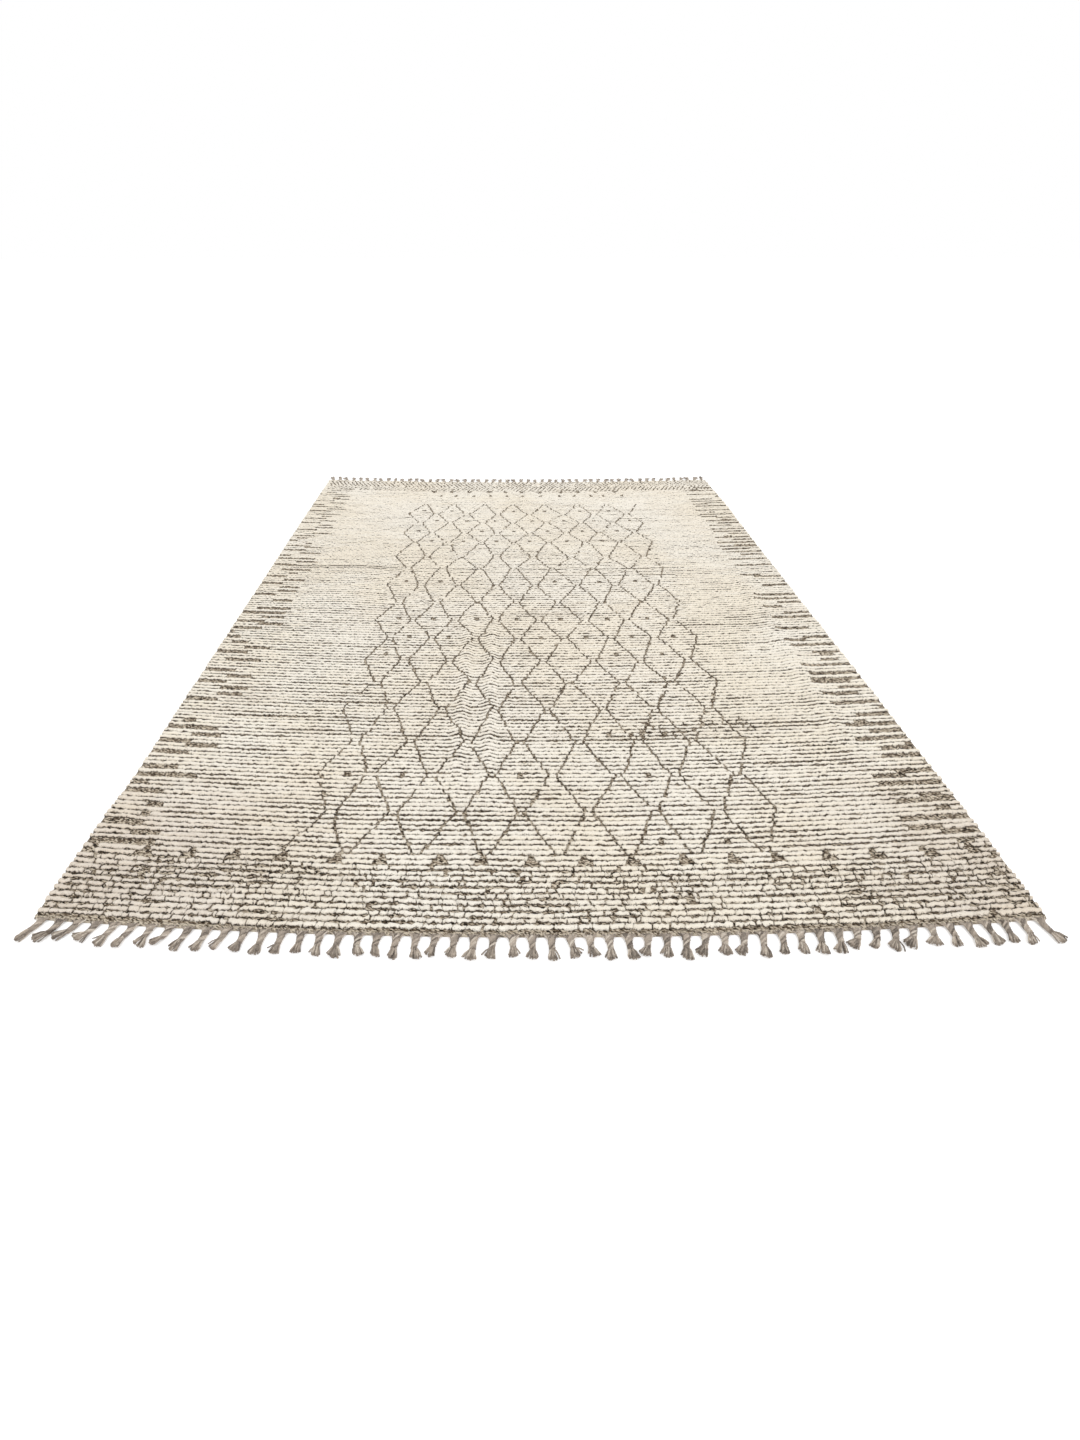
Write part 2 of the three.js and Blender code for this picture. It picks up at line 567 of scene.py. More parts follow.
class Dash(Enum):
    """The kinds of dash in the side borders: where each starts and ends, from the edge inwards."""

    EDGE = ("e", 0.000, 0.024)
    SHORT_OUTER = ("o", 0.004, 0.050)
    OUTER = ("O", 0.004, 0.100)
    BOTH = ("B", 0.003, 0.157)
    SHORT_MIDDLE = ("m", 0.030, 0.080)
    MIDDLE = ("M", 0.046, 0.160)
    INNER = ("I", 0.082, 0.164)
    SHORT_INNER = ("i", 0.080, 0.120)

    def __init__(self, letter: str, start: float, end: float) -> None:
        """Keeps the dash's letter in the chart and its reach."""
        self.letter = letter
        self.start = start
        self.end = end


@dataclass(frozen=True)
class SideBorder:
    """Dashes down one side, in a short rhythm that the weaver repeats with a free hand.

    The rhythm has a letter for each pile row, and a dot for none.
    """

    side: int  # -1 for the left and 1 for the right
    rhythm: str
    calm: Span  # where along the rug many of its dashes are left out
    calm_share: float = 0.50
    near: float = -1.283
    far: float = 1.360
    missing_share: float = 0.05
    changed_share: float = 0.22
    stray: float = 0.007
    start_strays: float = 0.4  # how far its start strays, as a share of how far its end does
    slant_strays: float = 0.004

    def mark(self, draft: Draft, rng: np.random.Generator) -> None:
        """Leaves the pile out along every dash."""
        kinds = {kind.letter: kind for kind in Dash}
        first, last = draft.plan.row_at(self.near), draft.plan.row_at(self.far)
        for row in range(first, last + 1):
            letter = self.rhythm[(row - first) % len(self.rhythm)]
            calm = self.calm[0] < draft.plan.middles[row] < self.calm[1]
            missing_share = self.calm_share if calm else self.missing_share
            missing, changed = rng.random(2) < (missing_share, self.changed_share)
            if letter == "." or missing:
                continue
            kind = list(Dash)[rng.integers(len(Dash))] if changed else kinds[letter]
            start = kind.start + abs(rng.normal(0, self.stray * self.start_strays))
            end = kind.end + rng.normal(0, self.stray)
            left, right = sorted((self.side * (HALF_WIDTH - start), self.side * (HALF_WIDTH - end)))
            draft.cut(row, Stretch(left, right, *rng.normal(0, self.slant_strays, 2)))


@dataclass(frozen=True)
class SpeckledPatch:
    """A spot where many small tufts are missing, so that dark flecks of the ground show."""

    across: float
    along: float
    reach_across: float
    reach_along: float
    count: int
    fleck_half: Span = (0.003, 0.010)  # half a fleck's width
    fleck_opens: Span = (0.0012, 0.0036)
    fleck_ease: float = 0.006
    missing_tufts: float = 0.30
    tuft_width: Span = (0.002, 0.005)
    tuft_slant: float = 0.003

    def mark(self, draft: Draft, rng: np.random.Generator) -> None:
        """Thins the edges of rows, and takes a tuft out here and there."""
        for _ in range(self.count):
            along = self.along + self.reach_along * rng.uniform(-1, 1)
            across = self.across + self.reach_across * rng.uniform(-1, 1)
            half = rng.uniform(*self.fleck_half)
            opens = rng.uniform(*self.fleck_opens)
            draft.open_gap(OpenGap(across - half, across + half, along, opens, self.fleck_ease))
            if rng.random() < self.missing_tufts:
                width, slant = rng.uniform(*self.tuft_width), rng.normal(0, self.tuft_slant)
                draft.notch(draft.plan.row_at(along), across, width, slant)


BORDERS = (
    SideBorder(side=-1, rhythm="O.I.O.i.M..O.I.B.o.I.O.IO.I.B.m.O.I..O.I.I.", calm=(-0.79, -0.71)),
    SideBorder(side=1, rhythm="B.OI.B.m.BO..B.IO.B.M.Be.B.O.Bi.O.B.B..M.O.B", calm=(-0.28, 0.46)),
)

FIGURES = (
    FigureRow(
        along=-1.315, left=-0.977, right=0.951, count=19,
        widths=(0.032, 0.015), stray=0.004, taper=0.004, lean=0.009,
    ),
    FigureRow(along=1.308, left=-0.425, right=0.478, count=11, widths=(0.012, 0.026), stray=0.005),
    FigureRow(along=1.244, left=-0.386, right=0.517, count=12, widths=(0.014, 0.010), stray=0.008),
)

BANDS = (
    BrickBand(
        near=-1.490, far=-1.328, spacing=0.021, sparse=1.6, joint=0.0024, joint_varies=(0.2, 2.0),
        step=0.004, turns_after=3, missing_share=0.08, stray_share=0.36, pinched_share=0.60,
    ),
    BrickBand(
        near=1.330, far=1.490, spacing=0.0205, sparse=1.0, joint=0.0062, joint_varies=(0.6, 1.4),
        step=0.0070, turns_after=5, missing_share=0.08, stray_share=0.07, pinched_share=0.0,
    ),
)

# Each one's place across and along, its reach across and along, and how many flecks it has.
PATCHES = (
    SpeckledPatch(0.45, -0.800, 0.15, 0.030, 90),
    SpeckledPatch(0.25, -0.830, 0.14, 0.016, 30),
    SpeckledPatch(0.66, -1.400, 0.14, 0.070, 90),
    SpeckledPatch(-0.66, -1.365, 0.20, 0.035, 110),
    SpeckledPatch(-0.05, -1.400, 0.34, 0.070, 200),
    SpeckledPatch(0.10, -1.420, 0.90, 0.070, 230),
    SpeckledPatch(-0.88, -1.400, 0.11, 0.090, 130),
    SpeckledPatch(0.90, -1.380, 0.09, 0.090, 80),
)

# Each one's left, right, place along and how far it opens.
OPEN_GAPS = (
    OpenGap(-0.94, -0.48, 0.316, 0.0086),
    OpenGap(-0.90, -0.52, 0.293, 0.0066),
    OpenGap(-0.46, -0.10, 0.312, 0.0045),
    OpenGap(-0.04, 0.62, 0.302, 0.0042),
    OpenGap(0.02, 0.66, 0.280, 0.0031),
    OpenGap(0.10, 0.72, 0.250, 0.0042),
    OpenGap(-0.72, -0.44, -0.580, 0.0042),
    OpenGap(-0.03, 0.58, -0.569, 0.0039),
    OpenGap(-0.65, -0.38, -0.674, 0.0048),
    OpenGap(-0.84, -0.60, -0.759, 0.0070),
    OpenGap(-0.62, -0.36, -0.775, 0.0034),
    OpenGap(-0.68, -0.48, -0.818, 0.0036),
    OpenGap(-0.58, -0.05, -0.848, 0.0031),
    OpenGap(0.05, 0.62, -0.852, 0.0048),
    OpenGap(0.55, 0.86, -0.795, 0.0042),
    OpenGap(0.58, 0.84, -0.813, 0.0034),
    OpenGap(0.53, 0.85, -0.965, 0.0042),
    OpenGap(0.60, 0.84, -0.985, 0.0034),
    OpenGap(0.50, 0.82, -0.201, 0.0050),
    OpenGap(0.52, 0.81, -0.332, 0.0042),
    OpenGap(0.46, 0.62, 0.902, 0.0036),
    OpenGap(0.28, 0.45, 0.616, 0.0036),
    OpenGap(-0.30, 0.10, -1.332, 0.0039),
    OpenGap(-0.72, -0.40, -1.348, 0.0042),
    OpenGap(0.10, 0.60, -1.364, 0.0034),
)


def weavers_draft(plan: RowPlan, rng: np.random.Generator) -> Draft:
    """Marks the whole pattern on a draft.

    Args:
        plan: Where the rows lie.
        rng: The source of the hand's small irregularities.

    Returns:
        The draft that the pile is knotted from.
    """
    draft = Draft(plan)
    for pattern in (LozengeLattice(), *FIGURES, *BANDS, *BORDERS, *PATCHES):
        pattern.mark(draft, rng)
    for gap in OPEN_GAPS:
        draft.open_gap(gap)
    return draft


class MeshHeap:
    """Many small shapes, gathered as arrays and joined into one mesh."""

    def __init__(self) -> None:
        """Starts empty."""
        self.points: list[np.ndarray] = []
        self.numbers: dict[str, list[np.ndarray]] = {TINT: [], SHARE: []}
        self.places: list[np.ndarray] = []
        self.faces: list[list[int]] = []
        self.maps: list[np.ndarray] = []
        self.count = 0

    def add_tube(
        self,
        rings: np.ndarray,
        places: np.ndarray,
        tint: np.ndarray,
        share: np.ndarray,
        ring_map: np.ndarray,
        cap_maps: tuple[np.ndarray, np.ndarray],
    ) -> None:
        """Adds a closed tube.

        Args:
            rings: Its points, by ring and by place round the ring, three numbers each.
            places: The straight place on the rug of each point.
            tint: The yarn's tint at each point.
            share: How far up the pile, or along the yarn, each point is.
            ring_map: Where each point lies on the bake map, with the first one of a ring
                repeated at its end.
            cap_maps: The same for the points of the first ring and of the last as end caps.
        """
        count, sides = rings.shape[:2]
        start = self.count
        self.points.append(rings.reshape(-1, 3))
        self.places.append(places.reshape(-1, 3))
        self.numbers[TINT].append(tint.ravel())
        self.numbers[SHARE].append(share.ravel())
        self.count += count * sides
        ring = np.arange(count - 1)[:, None] * sides
        side = np.arange(sides)[None, :]
        after = (side + 1) % sides
        corners = [ring + side, ring + after, ring + sides + after, ring + sides + side]
        self.faces += (np.stack(corners, -1).reshape(-1, 4) + start).tolist()
        low, high = ring_map[:-1], ring_map[1:]
        corner_maps = [low[:, :-1], low[:, 1:], high[:, 1:], high[:, :-1]]
        self.maps.append(np.stack(corner_maps, 2).reshape(-1, 2))
        self.faces.append(list(range(start + sides - 1, start - 1, -1)))
        self.maps.append(cap_maps[0][::-1])
        last = start + (count - 1) * sides
        self.faces.append(list(range(last, last + sides)))
        self.maps.append(cap_maps[1])

    def make(self, name: str) -> bpy.types.Object:
        """Joins everything into a smooth-shaded object.

        Args:
            name: The piece's name.

        Returns:
            The object, linked to the scene.
        """
        mesh = bpy.data.meshes.new(name)
        mesh.from_pydata(np.concatenate(self.points), [], self.faces)
        mesh.shade_smooth()
        for key, parts in self.numbers.items():
            values = np.concatenate(parts).astype(np.float32)
            mesh.attributes.new(key, "FLOAT", "POINT").data.foreach_set("value", values)
        places = np.concatenate(self.places).astype(np.float32)
        mesh.attributes.new(PLACE, "FLOAT_VECTOR", "POINT").data.foreach_set("vector", places.ravel())
        layer = mesh.uv_layers.new(name=BAKE_MAP)
        layer.uv.foreach_set("vector", np.concatenate(self.maps).astype(np.float32).ravel())
        return link(name, mesh)


def link(name: str, mesh: bpy.types.Mesh) -> bpy.types.Object:
    """Puts a mesh in the scene as an object of that name."""
    piece = bpy.data.objects.new(name, mesh)
    bpy.context.collection.objects.link(piece)
    return piece


def triangles(piece: bpy.types.Object) -> int:
    """How many triangles a piece has."""
    return sum(len(face.vertices) - 2 for face in piece.data.polygons)


@dataclass
class PileRows:
    """The cream pile: one soft ridge a row, in pieces that each take a band of rows."""

    cloth: Cloth
    draft: Draft
    rng: np.random.Generator
    pieces: int = 5
    height: float = 0.0060
    height_drifts: float = 0.10  # as a share of the height
    height_rough: float = 0.11
    gap_varies: float = 0.0009  # slowly, along each gap
    gap_opens: float = 0.0038  # where two rows lie loose
    gap_snags: float = 0.0044  # over short stretches
    tight_gap: float = 0.0040  # from this width up, the foot of the pile shows its full darkness
    tight_foot: float = 0.65  # how far up the pile its foot seems to be where a gap is shut
    edge_rough: float = 0.0028
    crown_rough: float = 0.0007  # how far the crown of a row strays sideways from ring to ring
    row_sways: float = 0.0022
    least_half: float = 0.002  # half the width that a row keeps beside the widest gaps
    station_pitch: float = 0.0054  # between the rings that a row is made of
    sunk: float = 0.0022  # how far the foot of the pile goes into the ground
    steep: float = 0.0014  # how far in from a cut the pile has its full height
    end_half: float = 0.80  # what a stretch keeps of its half width at its ends
    end_height: float = 0.62
    end_share: Span = (0.60, 1.0)  # how far up the pile the ends of a stretch seem to be
    slant_reach: float = 0.010
    pinch_reach: float = 0.0024
    pinch_room: float = 1.3  # clear of other rings round a pinch, in reaches
    pinch_clear: float = 2.2  # least distance from a pinch to the end of its stretch, in reaches
    pinch_depth: float = 0.40  # what a pinch takes off the height, as a share
    pinch_width: float = 0.16
    pinch_shade: float = 0.36
    pinch_shade_varies: Span = (0.6, 1.4)
    shortest: float = 0.0065  # the shortest stretch of pile that a row keeps
    selvedge: float = 0.0015  # the edge that the pile leaves bare
    selvedge_varies: float = 0.7
    row_tint: Span = (0.3, 0.7)
    tint_drifts: float = 0.22
    tint_rough: float = 0.13
    # Cells of what wanders slowly, across and along, or across alone where each row has its own.
    sway_cells: tuple[int, int] = (14, 70)
    height_cells: tuple[int, int] = (16, 60)
    tint_cells: tuple[int, int] = (24, 90)
    gap_cells: int = 9
    loose_cells: int = 8
    snag_cells: int = 70
    # Round a ridge, from its far side to its near side: shares of its half width and of its height.
    profile_sides: tuple[float, ...] = (1.0, 0.84, 0.0, -0.84, -1.0)
    profile_heights: tuple[float, ...] = (0.0, 0.72, 1.0, 0.72, 0.0)
    # On the bake map: where that profile unrolls to in a row's strip, the margin, and how caps bulge.
    unrolled: tuple[float, ...] = (0.02, 0.22, 0.44, 0.66, 0.86, 0.98)
    map_margin: float = 0.01
    cap_bulges: tuple[float, ...] = (0.0, 0.0006, 0.0009, 0.0006, 0.0)

    def __post_init__(self) -> None:
        """Draws the slow wandering that neighbouring rows share."""
        rows = self.draft.plan.count
        self.sway = Drift(self.rng, *self.sway_cells)
        self.gap_drift = Drift(self.rng, self.gap_cells, rows)
        self.looseness = Drift(self.rng, self.loose_cells, rows)
        self.snags = Drift(self.rng, self.snag_cells, rows)
        self.height_drift = Drift(self.rng, *self.height_cells)
        self.row_tints = self.rng.uniform(*self.row_tint, rows)
        self.tint_drift = Drift(self.rng, *self.tint_cells)

    def gap_width(self, gap: int, across: np.ndarray) -> np.ndarray:
        """How wide the gap on the near side of a row is at each place across.

        Args:
            gap: The gap's number.
            across: Places across the rug.

        Returns:
            Widths in metres.
        """
        plan = self.draft.plan
        share = width_share(across)
        along_share = gap / plan.count
        width = plan.left_gaps[gap] + (plan.right_gaps[gap] - plan.left_gaps[gap]) * share
        width += self.gap_varies * self.gap_drift.at(share, along_share)
        width += self.gap_opens * np.maximum(self.looseness.at(share, along_share), 0) ** 2
        width += self.gap_snags * np.maximum(self.snags.at(share, along_share), 0) ** 2
        return width + self.draft.opening(gap, across)

    def stations(self, row: int, run: Stretch) -> tuple[np.ndarray, np.ndarray, np.ndarray]:
        """Where the rings of a stretch of pile stand, with extra ones at its pinches.

        Args:
            row: The row's number.
            run: The stretch.

        Returns:
            Their places across, how hard each is pinched, from 0 to 1, and how far it slants.
        """
        inner = max(2, round((run.right - run.left - 2 * self.steep) / self.station_pitch) + 1)
        across = np.linspace(run.left + self.steep, run.right - self.steep, inner)
        across = np.concatenate([[run.left], across, [run.right]])
        from_left = np.maximum(1 - (across - run.left) / self.slant_reach, 0)
        from_right = np.maximum(1 - (run.right - across) / self.slant_reach, 0)
        slant = run.left_slant * from_left + run.right_slant * from_right
        rings = np.stack([across, np.zeros_like(across), slant], -1)
        reach = self.pinch_reach
        clear = self.pinch_clear * reach
        for pinch in self.draft.pinches[row]:
            if run.left + clear < pinch.across < run.right - clear:
                rings = rings[np.abs(rings[:, 0] - pinch.across) > self.pinch_room * reach]
                three = [(pinch.across + side * reach, side == 0, pinch.slant) for side in (-1, 0, 1)]
                rings = np.concatenate([rings, three])
        rings = rings[np.argsort(rings[:, 0])]
        return rings[:, 0], rings[:, 1], rings[:, 2]

    def add_run(self, heap: MeshHeap, row: int, run: Stretch, band: range) -> None:
        """Adds one stretch of a row's pile.

        Args:
            heap: Where it goes.
            row: The row's number.
            run: Where the stretch starts and ends.
            band: The rows of this piece, which share its bake map.
        """
        plan = self.draft.plan
        across, pinched, slant = self.stations(row, run)
        count = len(across)
        share, along_share = width_share(across), (row + 0.5) / plan.count
        rough_near, rough_far, rough_height, rough_crown = self.rng.normal(0, 1, (4, count))
        near_gap = self.gap_width(row, across) + self.edge_rough * rough_near
        far_gap = self.gap_width(row + 1, across) + self.edge_rough * rough_far
        near_edge = plan.edges[row] + near_gap / 2
        far_edge = plan.edges[row + 1] - far_gap / 2
        half = np.maximum((far_edge - near_edge) / 2, self.least_half)
        middle = (far_edge + near_edge) / 2 + self.row_sways * self.sway.at(share, along_share)
        uneven = self.height_drifts * self.height_drift.at(share, along_share)
        tall = self.height * (1 + uneven + self.height_rough * rough_height)
        half[[0, -1]] *= self.end_half
        tall[[0, -1]] *= self.end_height
        half *= 1 - self.pinch_width * pinched
        tall *= 1 - self.pinch_depth * pinched
        profile = np.array(self.profile_sides)
        sides = profile * half[:, None]
        sides[:, 1:-1] += self.crown_rough * rough_crown[:, None]
        heights = np.array(self.profile_heights) * (tall + self.sunk)[:, None] - self.sunk
        along = middle[:, None] + sides
        at = np.clip(across[:, None] + slant[:, None] * profile / 2, -HALF_WIDTH, HALF_WIDTH)
        rings = self.cloth.lay(at, along, self.cloth.ground_top + heights)
        places = np.stack([at, along, heights], -1)
        tint = self.row_tints[row] + self.tint_drifts * self.tint_drift.at(share, along_share)
        tint = tint + self.rng.normal(0, self.tint_rough, count)
        tint = np.broadcast_to(np.clip(tint, 0, 1)[:, None], along.shape)
        # A lower share gives more of the dark foot colour, partly ground fibre and partly painted shade: at
        # wide gaps, at the ends of a stretch and at pinches.
        shares = np.array(self.profile_heights) * np.ones((count, 1))
        shares[:, 0] = self.tight_foot * np.clip(1 - far_gap / self.tight_gap, 0, 1)
        shares[:, -1] = self.tight_foot * np.clip(1 - near_gap / self.tight_gap, 0, 1)
        shares[[0, -1]] *= self.rng.uniform(*self.end_share, (2, 1))
        shade = self.pinch_shade * pinched * self.rng.uniform(*self.pinch_shade_varies, count)
        shares *= 1 - shade[:, None]
        heap.add_tube(rings, places, tint, shares, *self.unroll(across, row, band))

    def unroll(self, across: np.ndarray, row: int, band: range) -> tuple:
        """Lays a run out on the bake map: its length across the map, its girth in the row's strip.

        Args:
            across: The places of its stations.
            row: The row's number.
            band: The rows that share the map.

        Returns:
            The map of its rings, and those of its two end caps.
        """
        u = self.map_margin + (1 - 2 * self.map_margin) * width_share(across)
        v = (row - band.start + np.array(self.unrolled)) / len(band)
        ring_map = np.stack(np.meshgrid(u, v, indexing="ij"), -1)
        bulges = np.array(self.cap_bulges)
        first = np.stack([u[0] - bulges, v[:-1]], -1)
        last = np.stack([u[-1] + bulges, v[:-1]], -1)
        return ring_map, (first, last)

    def build(self) -> list[bpy.types.Object]:
        """Builds the pile, a piece for each band of rows."""
        plan = self.draft.plan
        bounds = np.linspace(0, plan.count, self.pieces + 1).astype(int)
        made = []
        for number, (first, last) in enumerate(zip(bounds[:-1], bounds[1:]), 1):
            heap = MeshHeap()
            band = range(first, last)
            for row in band:
                varies = self.rng.uniform(-self.selvedge_varies, self.selvedge_varies, 2)
                left, right = HALF_WIDTH - self.selvedge * (1 + varies)
                for run in self.draft.runs(row, -left, right, self.shortest):
                    self.add_run(heap, row, run, band)
            made.append(heap.make(f"pile_rows_{number}"))
        return made


@dataclass
class ClosedSheet:
    """A thin closed sheet of cloth: a grid as its top, a second one as its underside, and a round rim."""

    cloth: Cloth
    name: str
    across: Span
    along: Span
    columns: int
    rows: int
    rounding: float  # how far the top and the underside are drawn in at the rim
    rim_cuts: int = 3

    def build(self, top: Callable[[np.ndarray, np.ndarray], np.ndarray], under: float) -> bpy.types.Object:
        """Builds the sheet.

        Args:
            top: Gives the height of the top from shares of the way across and along.
            under: The height of the underside.

        Returns:
            The object, linked to the scene.
        """
        sheet = bmesh.new()
        place = sheet.verts.layers.float_vector.new(PLACE)
        share = sheet.verts.layers.float.new(SHARE)
        bmesh.ops.create_grid(sheet, x_segments=self.columns, y_segments=self.rows, size=0.5)
        made = bmesh.ops.extrude_face_region(sheet, geom=sheet.faces[:], use_keep_orig=True)
        below = [part for part in made["geom"] if isinstance(part, bmesh.types.BMVert)]
        bmesh.ops.translate(sheet, verts=below, vec=(0, 0, -1))
        rim = [edge for edge in sheet.edges if edge.verts[0].co.z != edge.verts[1].co.z]
        bmesh.ops.subdivide_edges(sheet, edges=rim, cuts=self.rim_cuts)
        verts = sheet.verts[:]
        u, v, level = np.array([vert.co for vert in verts]).T + [[0.5], [0.5], [0.0]]
        width, depth = self.across[1] - self.across[0], self.along[1] - self.along[0]
        drawn_in = self.rounding * (1 - np.sin(-level * math.pi))
        x = self.across[0] + width * u - drawn_in * self.rim_side(u)
        y = self.along[0] + depth * v - drawn_in * self.rim_side(v) * np.sign(depth)
        height = top(u, v) * (1 + level) - under * level
        for vert, point, *flat, z, s in zip(verts, self.cloth.lay(x, y, height), x, y, height, v):
            vert.co = point
            vert[place] = (*flat, z)
            vert[share] = s
        bmesh.ops.recalc_face_normals(sheet, faces=sheet.faces[:])
        mesh = bpy.data.meshes.new(self.name)
        sheet.to_mesh(mesh)
        sheet.free()
        mesh.shade_smooth()
        return link(self.name, mesh)

    @staticmethod
    def rim_side(share: np.ndarray) -> np.ndarray:
        """Says which rim a point is on: -1 where a share is 0, 1 where it is 1, and 0 between."""
        return (share > 1 - AT_RIM).astype(float) - (share < AT_RIM)


@dataclass
class WovenGround:
    """The flat-woven cloth that the pile is knotted into, showing wherever a row leaves pile out."""

    cloth: Cloth
    columns: int = 168
    rows: int = 40
    inset: float = 0.0005
    rounding: float = 0.0022

    def build(self) -> bpy.types.Object:
        """Builds the ground as one closed sheet."""
        side, end = self.cloth.half_width - self.inset, self.cloth.field_half
        sheet = ClosedSheet(
            self.cloth, "woven_ground", (-side, side), (-end, end), self.columns, self.rows, self.rounding
        )
        return sheet.build(lambda u, v: np.full_like(u, self.cloth.ground_top), 0.0)


@dataclass
class EndBand:
    """The narrow band woven at an end of the rug, in a few ribs, which the tassels grow out of."""

    cloth: Cloth
    end: int  # -1 for the near end and 1 for the far end
    name: str
    columns: int = 300
    rows: int = 7
    ribs: int = 3
    base_height: float = 0.0048
    rib_height: float = 0.0016
    outer_height: float = 0.0018
    falls_from: float = 0.45  # share of its depth where it starts to fall to its outer edge
    twist_height: float = 0.0004
    twists: int = 240
    twist_slant: float = 9.0  # radians that the twist turns over the depth of the band
    under: float = 0.0004
    rounding: float = 0.0008

    def build(self) -> bpy.types.Object:
        """Builds the band as one closed strip. Its share runs from the field outwards."""
        side, outer = self.cloth.half_width, self.end * self.cloth.half_length
        along = (outer - self.end * self.cloth.band_depth, outer)
        band = ClosedSheet(
            self.cloth, self.name, (-side, side), along, self.columns, self.rows, self.rounding
        )
        return band.build(self.height, self.under)

    def height(self, across_share: np.ndarray, outward_share: np.ndarray) -> np.ndarray:
        """The height of the ribs and of the twist in their yarns."""
        rib = self.rib_height * np.abs(np.sin(self.ribs * math.pi * outward_share))
        turned = 2 * math.pi * self.twists * across_share + self.twist_slant * outward_share
        twist = self.twist_height * np.sin(turned)
        fallen = np.clip((outward_share - self.falls_from) / (1 - self.falls_from), 0, 1) ** 2
        return (self.base_height + rib) * (1 - fallen) + self.outer_height * fallen + twist


@dataclass(frozen=True)
class Lean:
    """How far tassel tips lean to the right at one place across."""

    across: float
    lean: float


# A place across, and the lean there.
NEAR_LEANS = (
    Lean(-1.000, -0.031),
    Lean(-0.720, -0.018),
    Lean(-0.450, -0.003),
    Lean(-0.200, -0.009),
    Lean(0.060, 0.008),
    Lean(0.310, -0.015),
    Lean(0.500, -0.009),
    Lean(0.720, -0.023),
    Lean(0.820, 0.007),
    Lean(0.930, -0.003),
    Lean(1.000, 0.020),
)

FAR_LEANS = (
    Lean(-1.000, -0.014),
    Lean(-0.500, -0.004),
    Lean(0.000, 0.002),
    Lean(0.600, 0.008),
    Lean(1.000, 0.012),
)


@dataclass(frozen=True)
class YarnGroup:
    """Some like yarns of a tassel: how many, round how many sides, and with how many stations."""

    count: int
    sides: int
    stations: int
    radius: float
    flatness: float = 1.0  # height as a share of width
    narrows: float = 1.0  # radius at its outer end as a share of that at its root


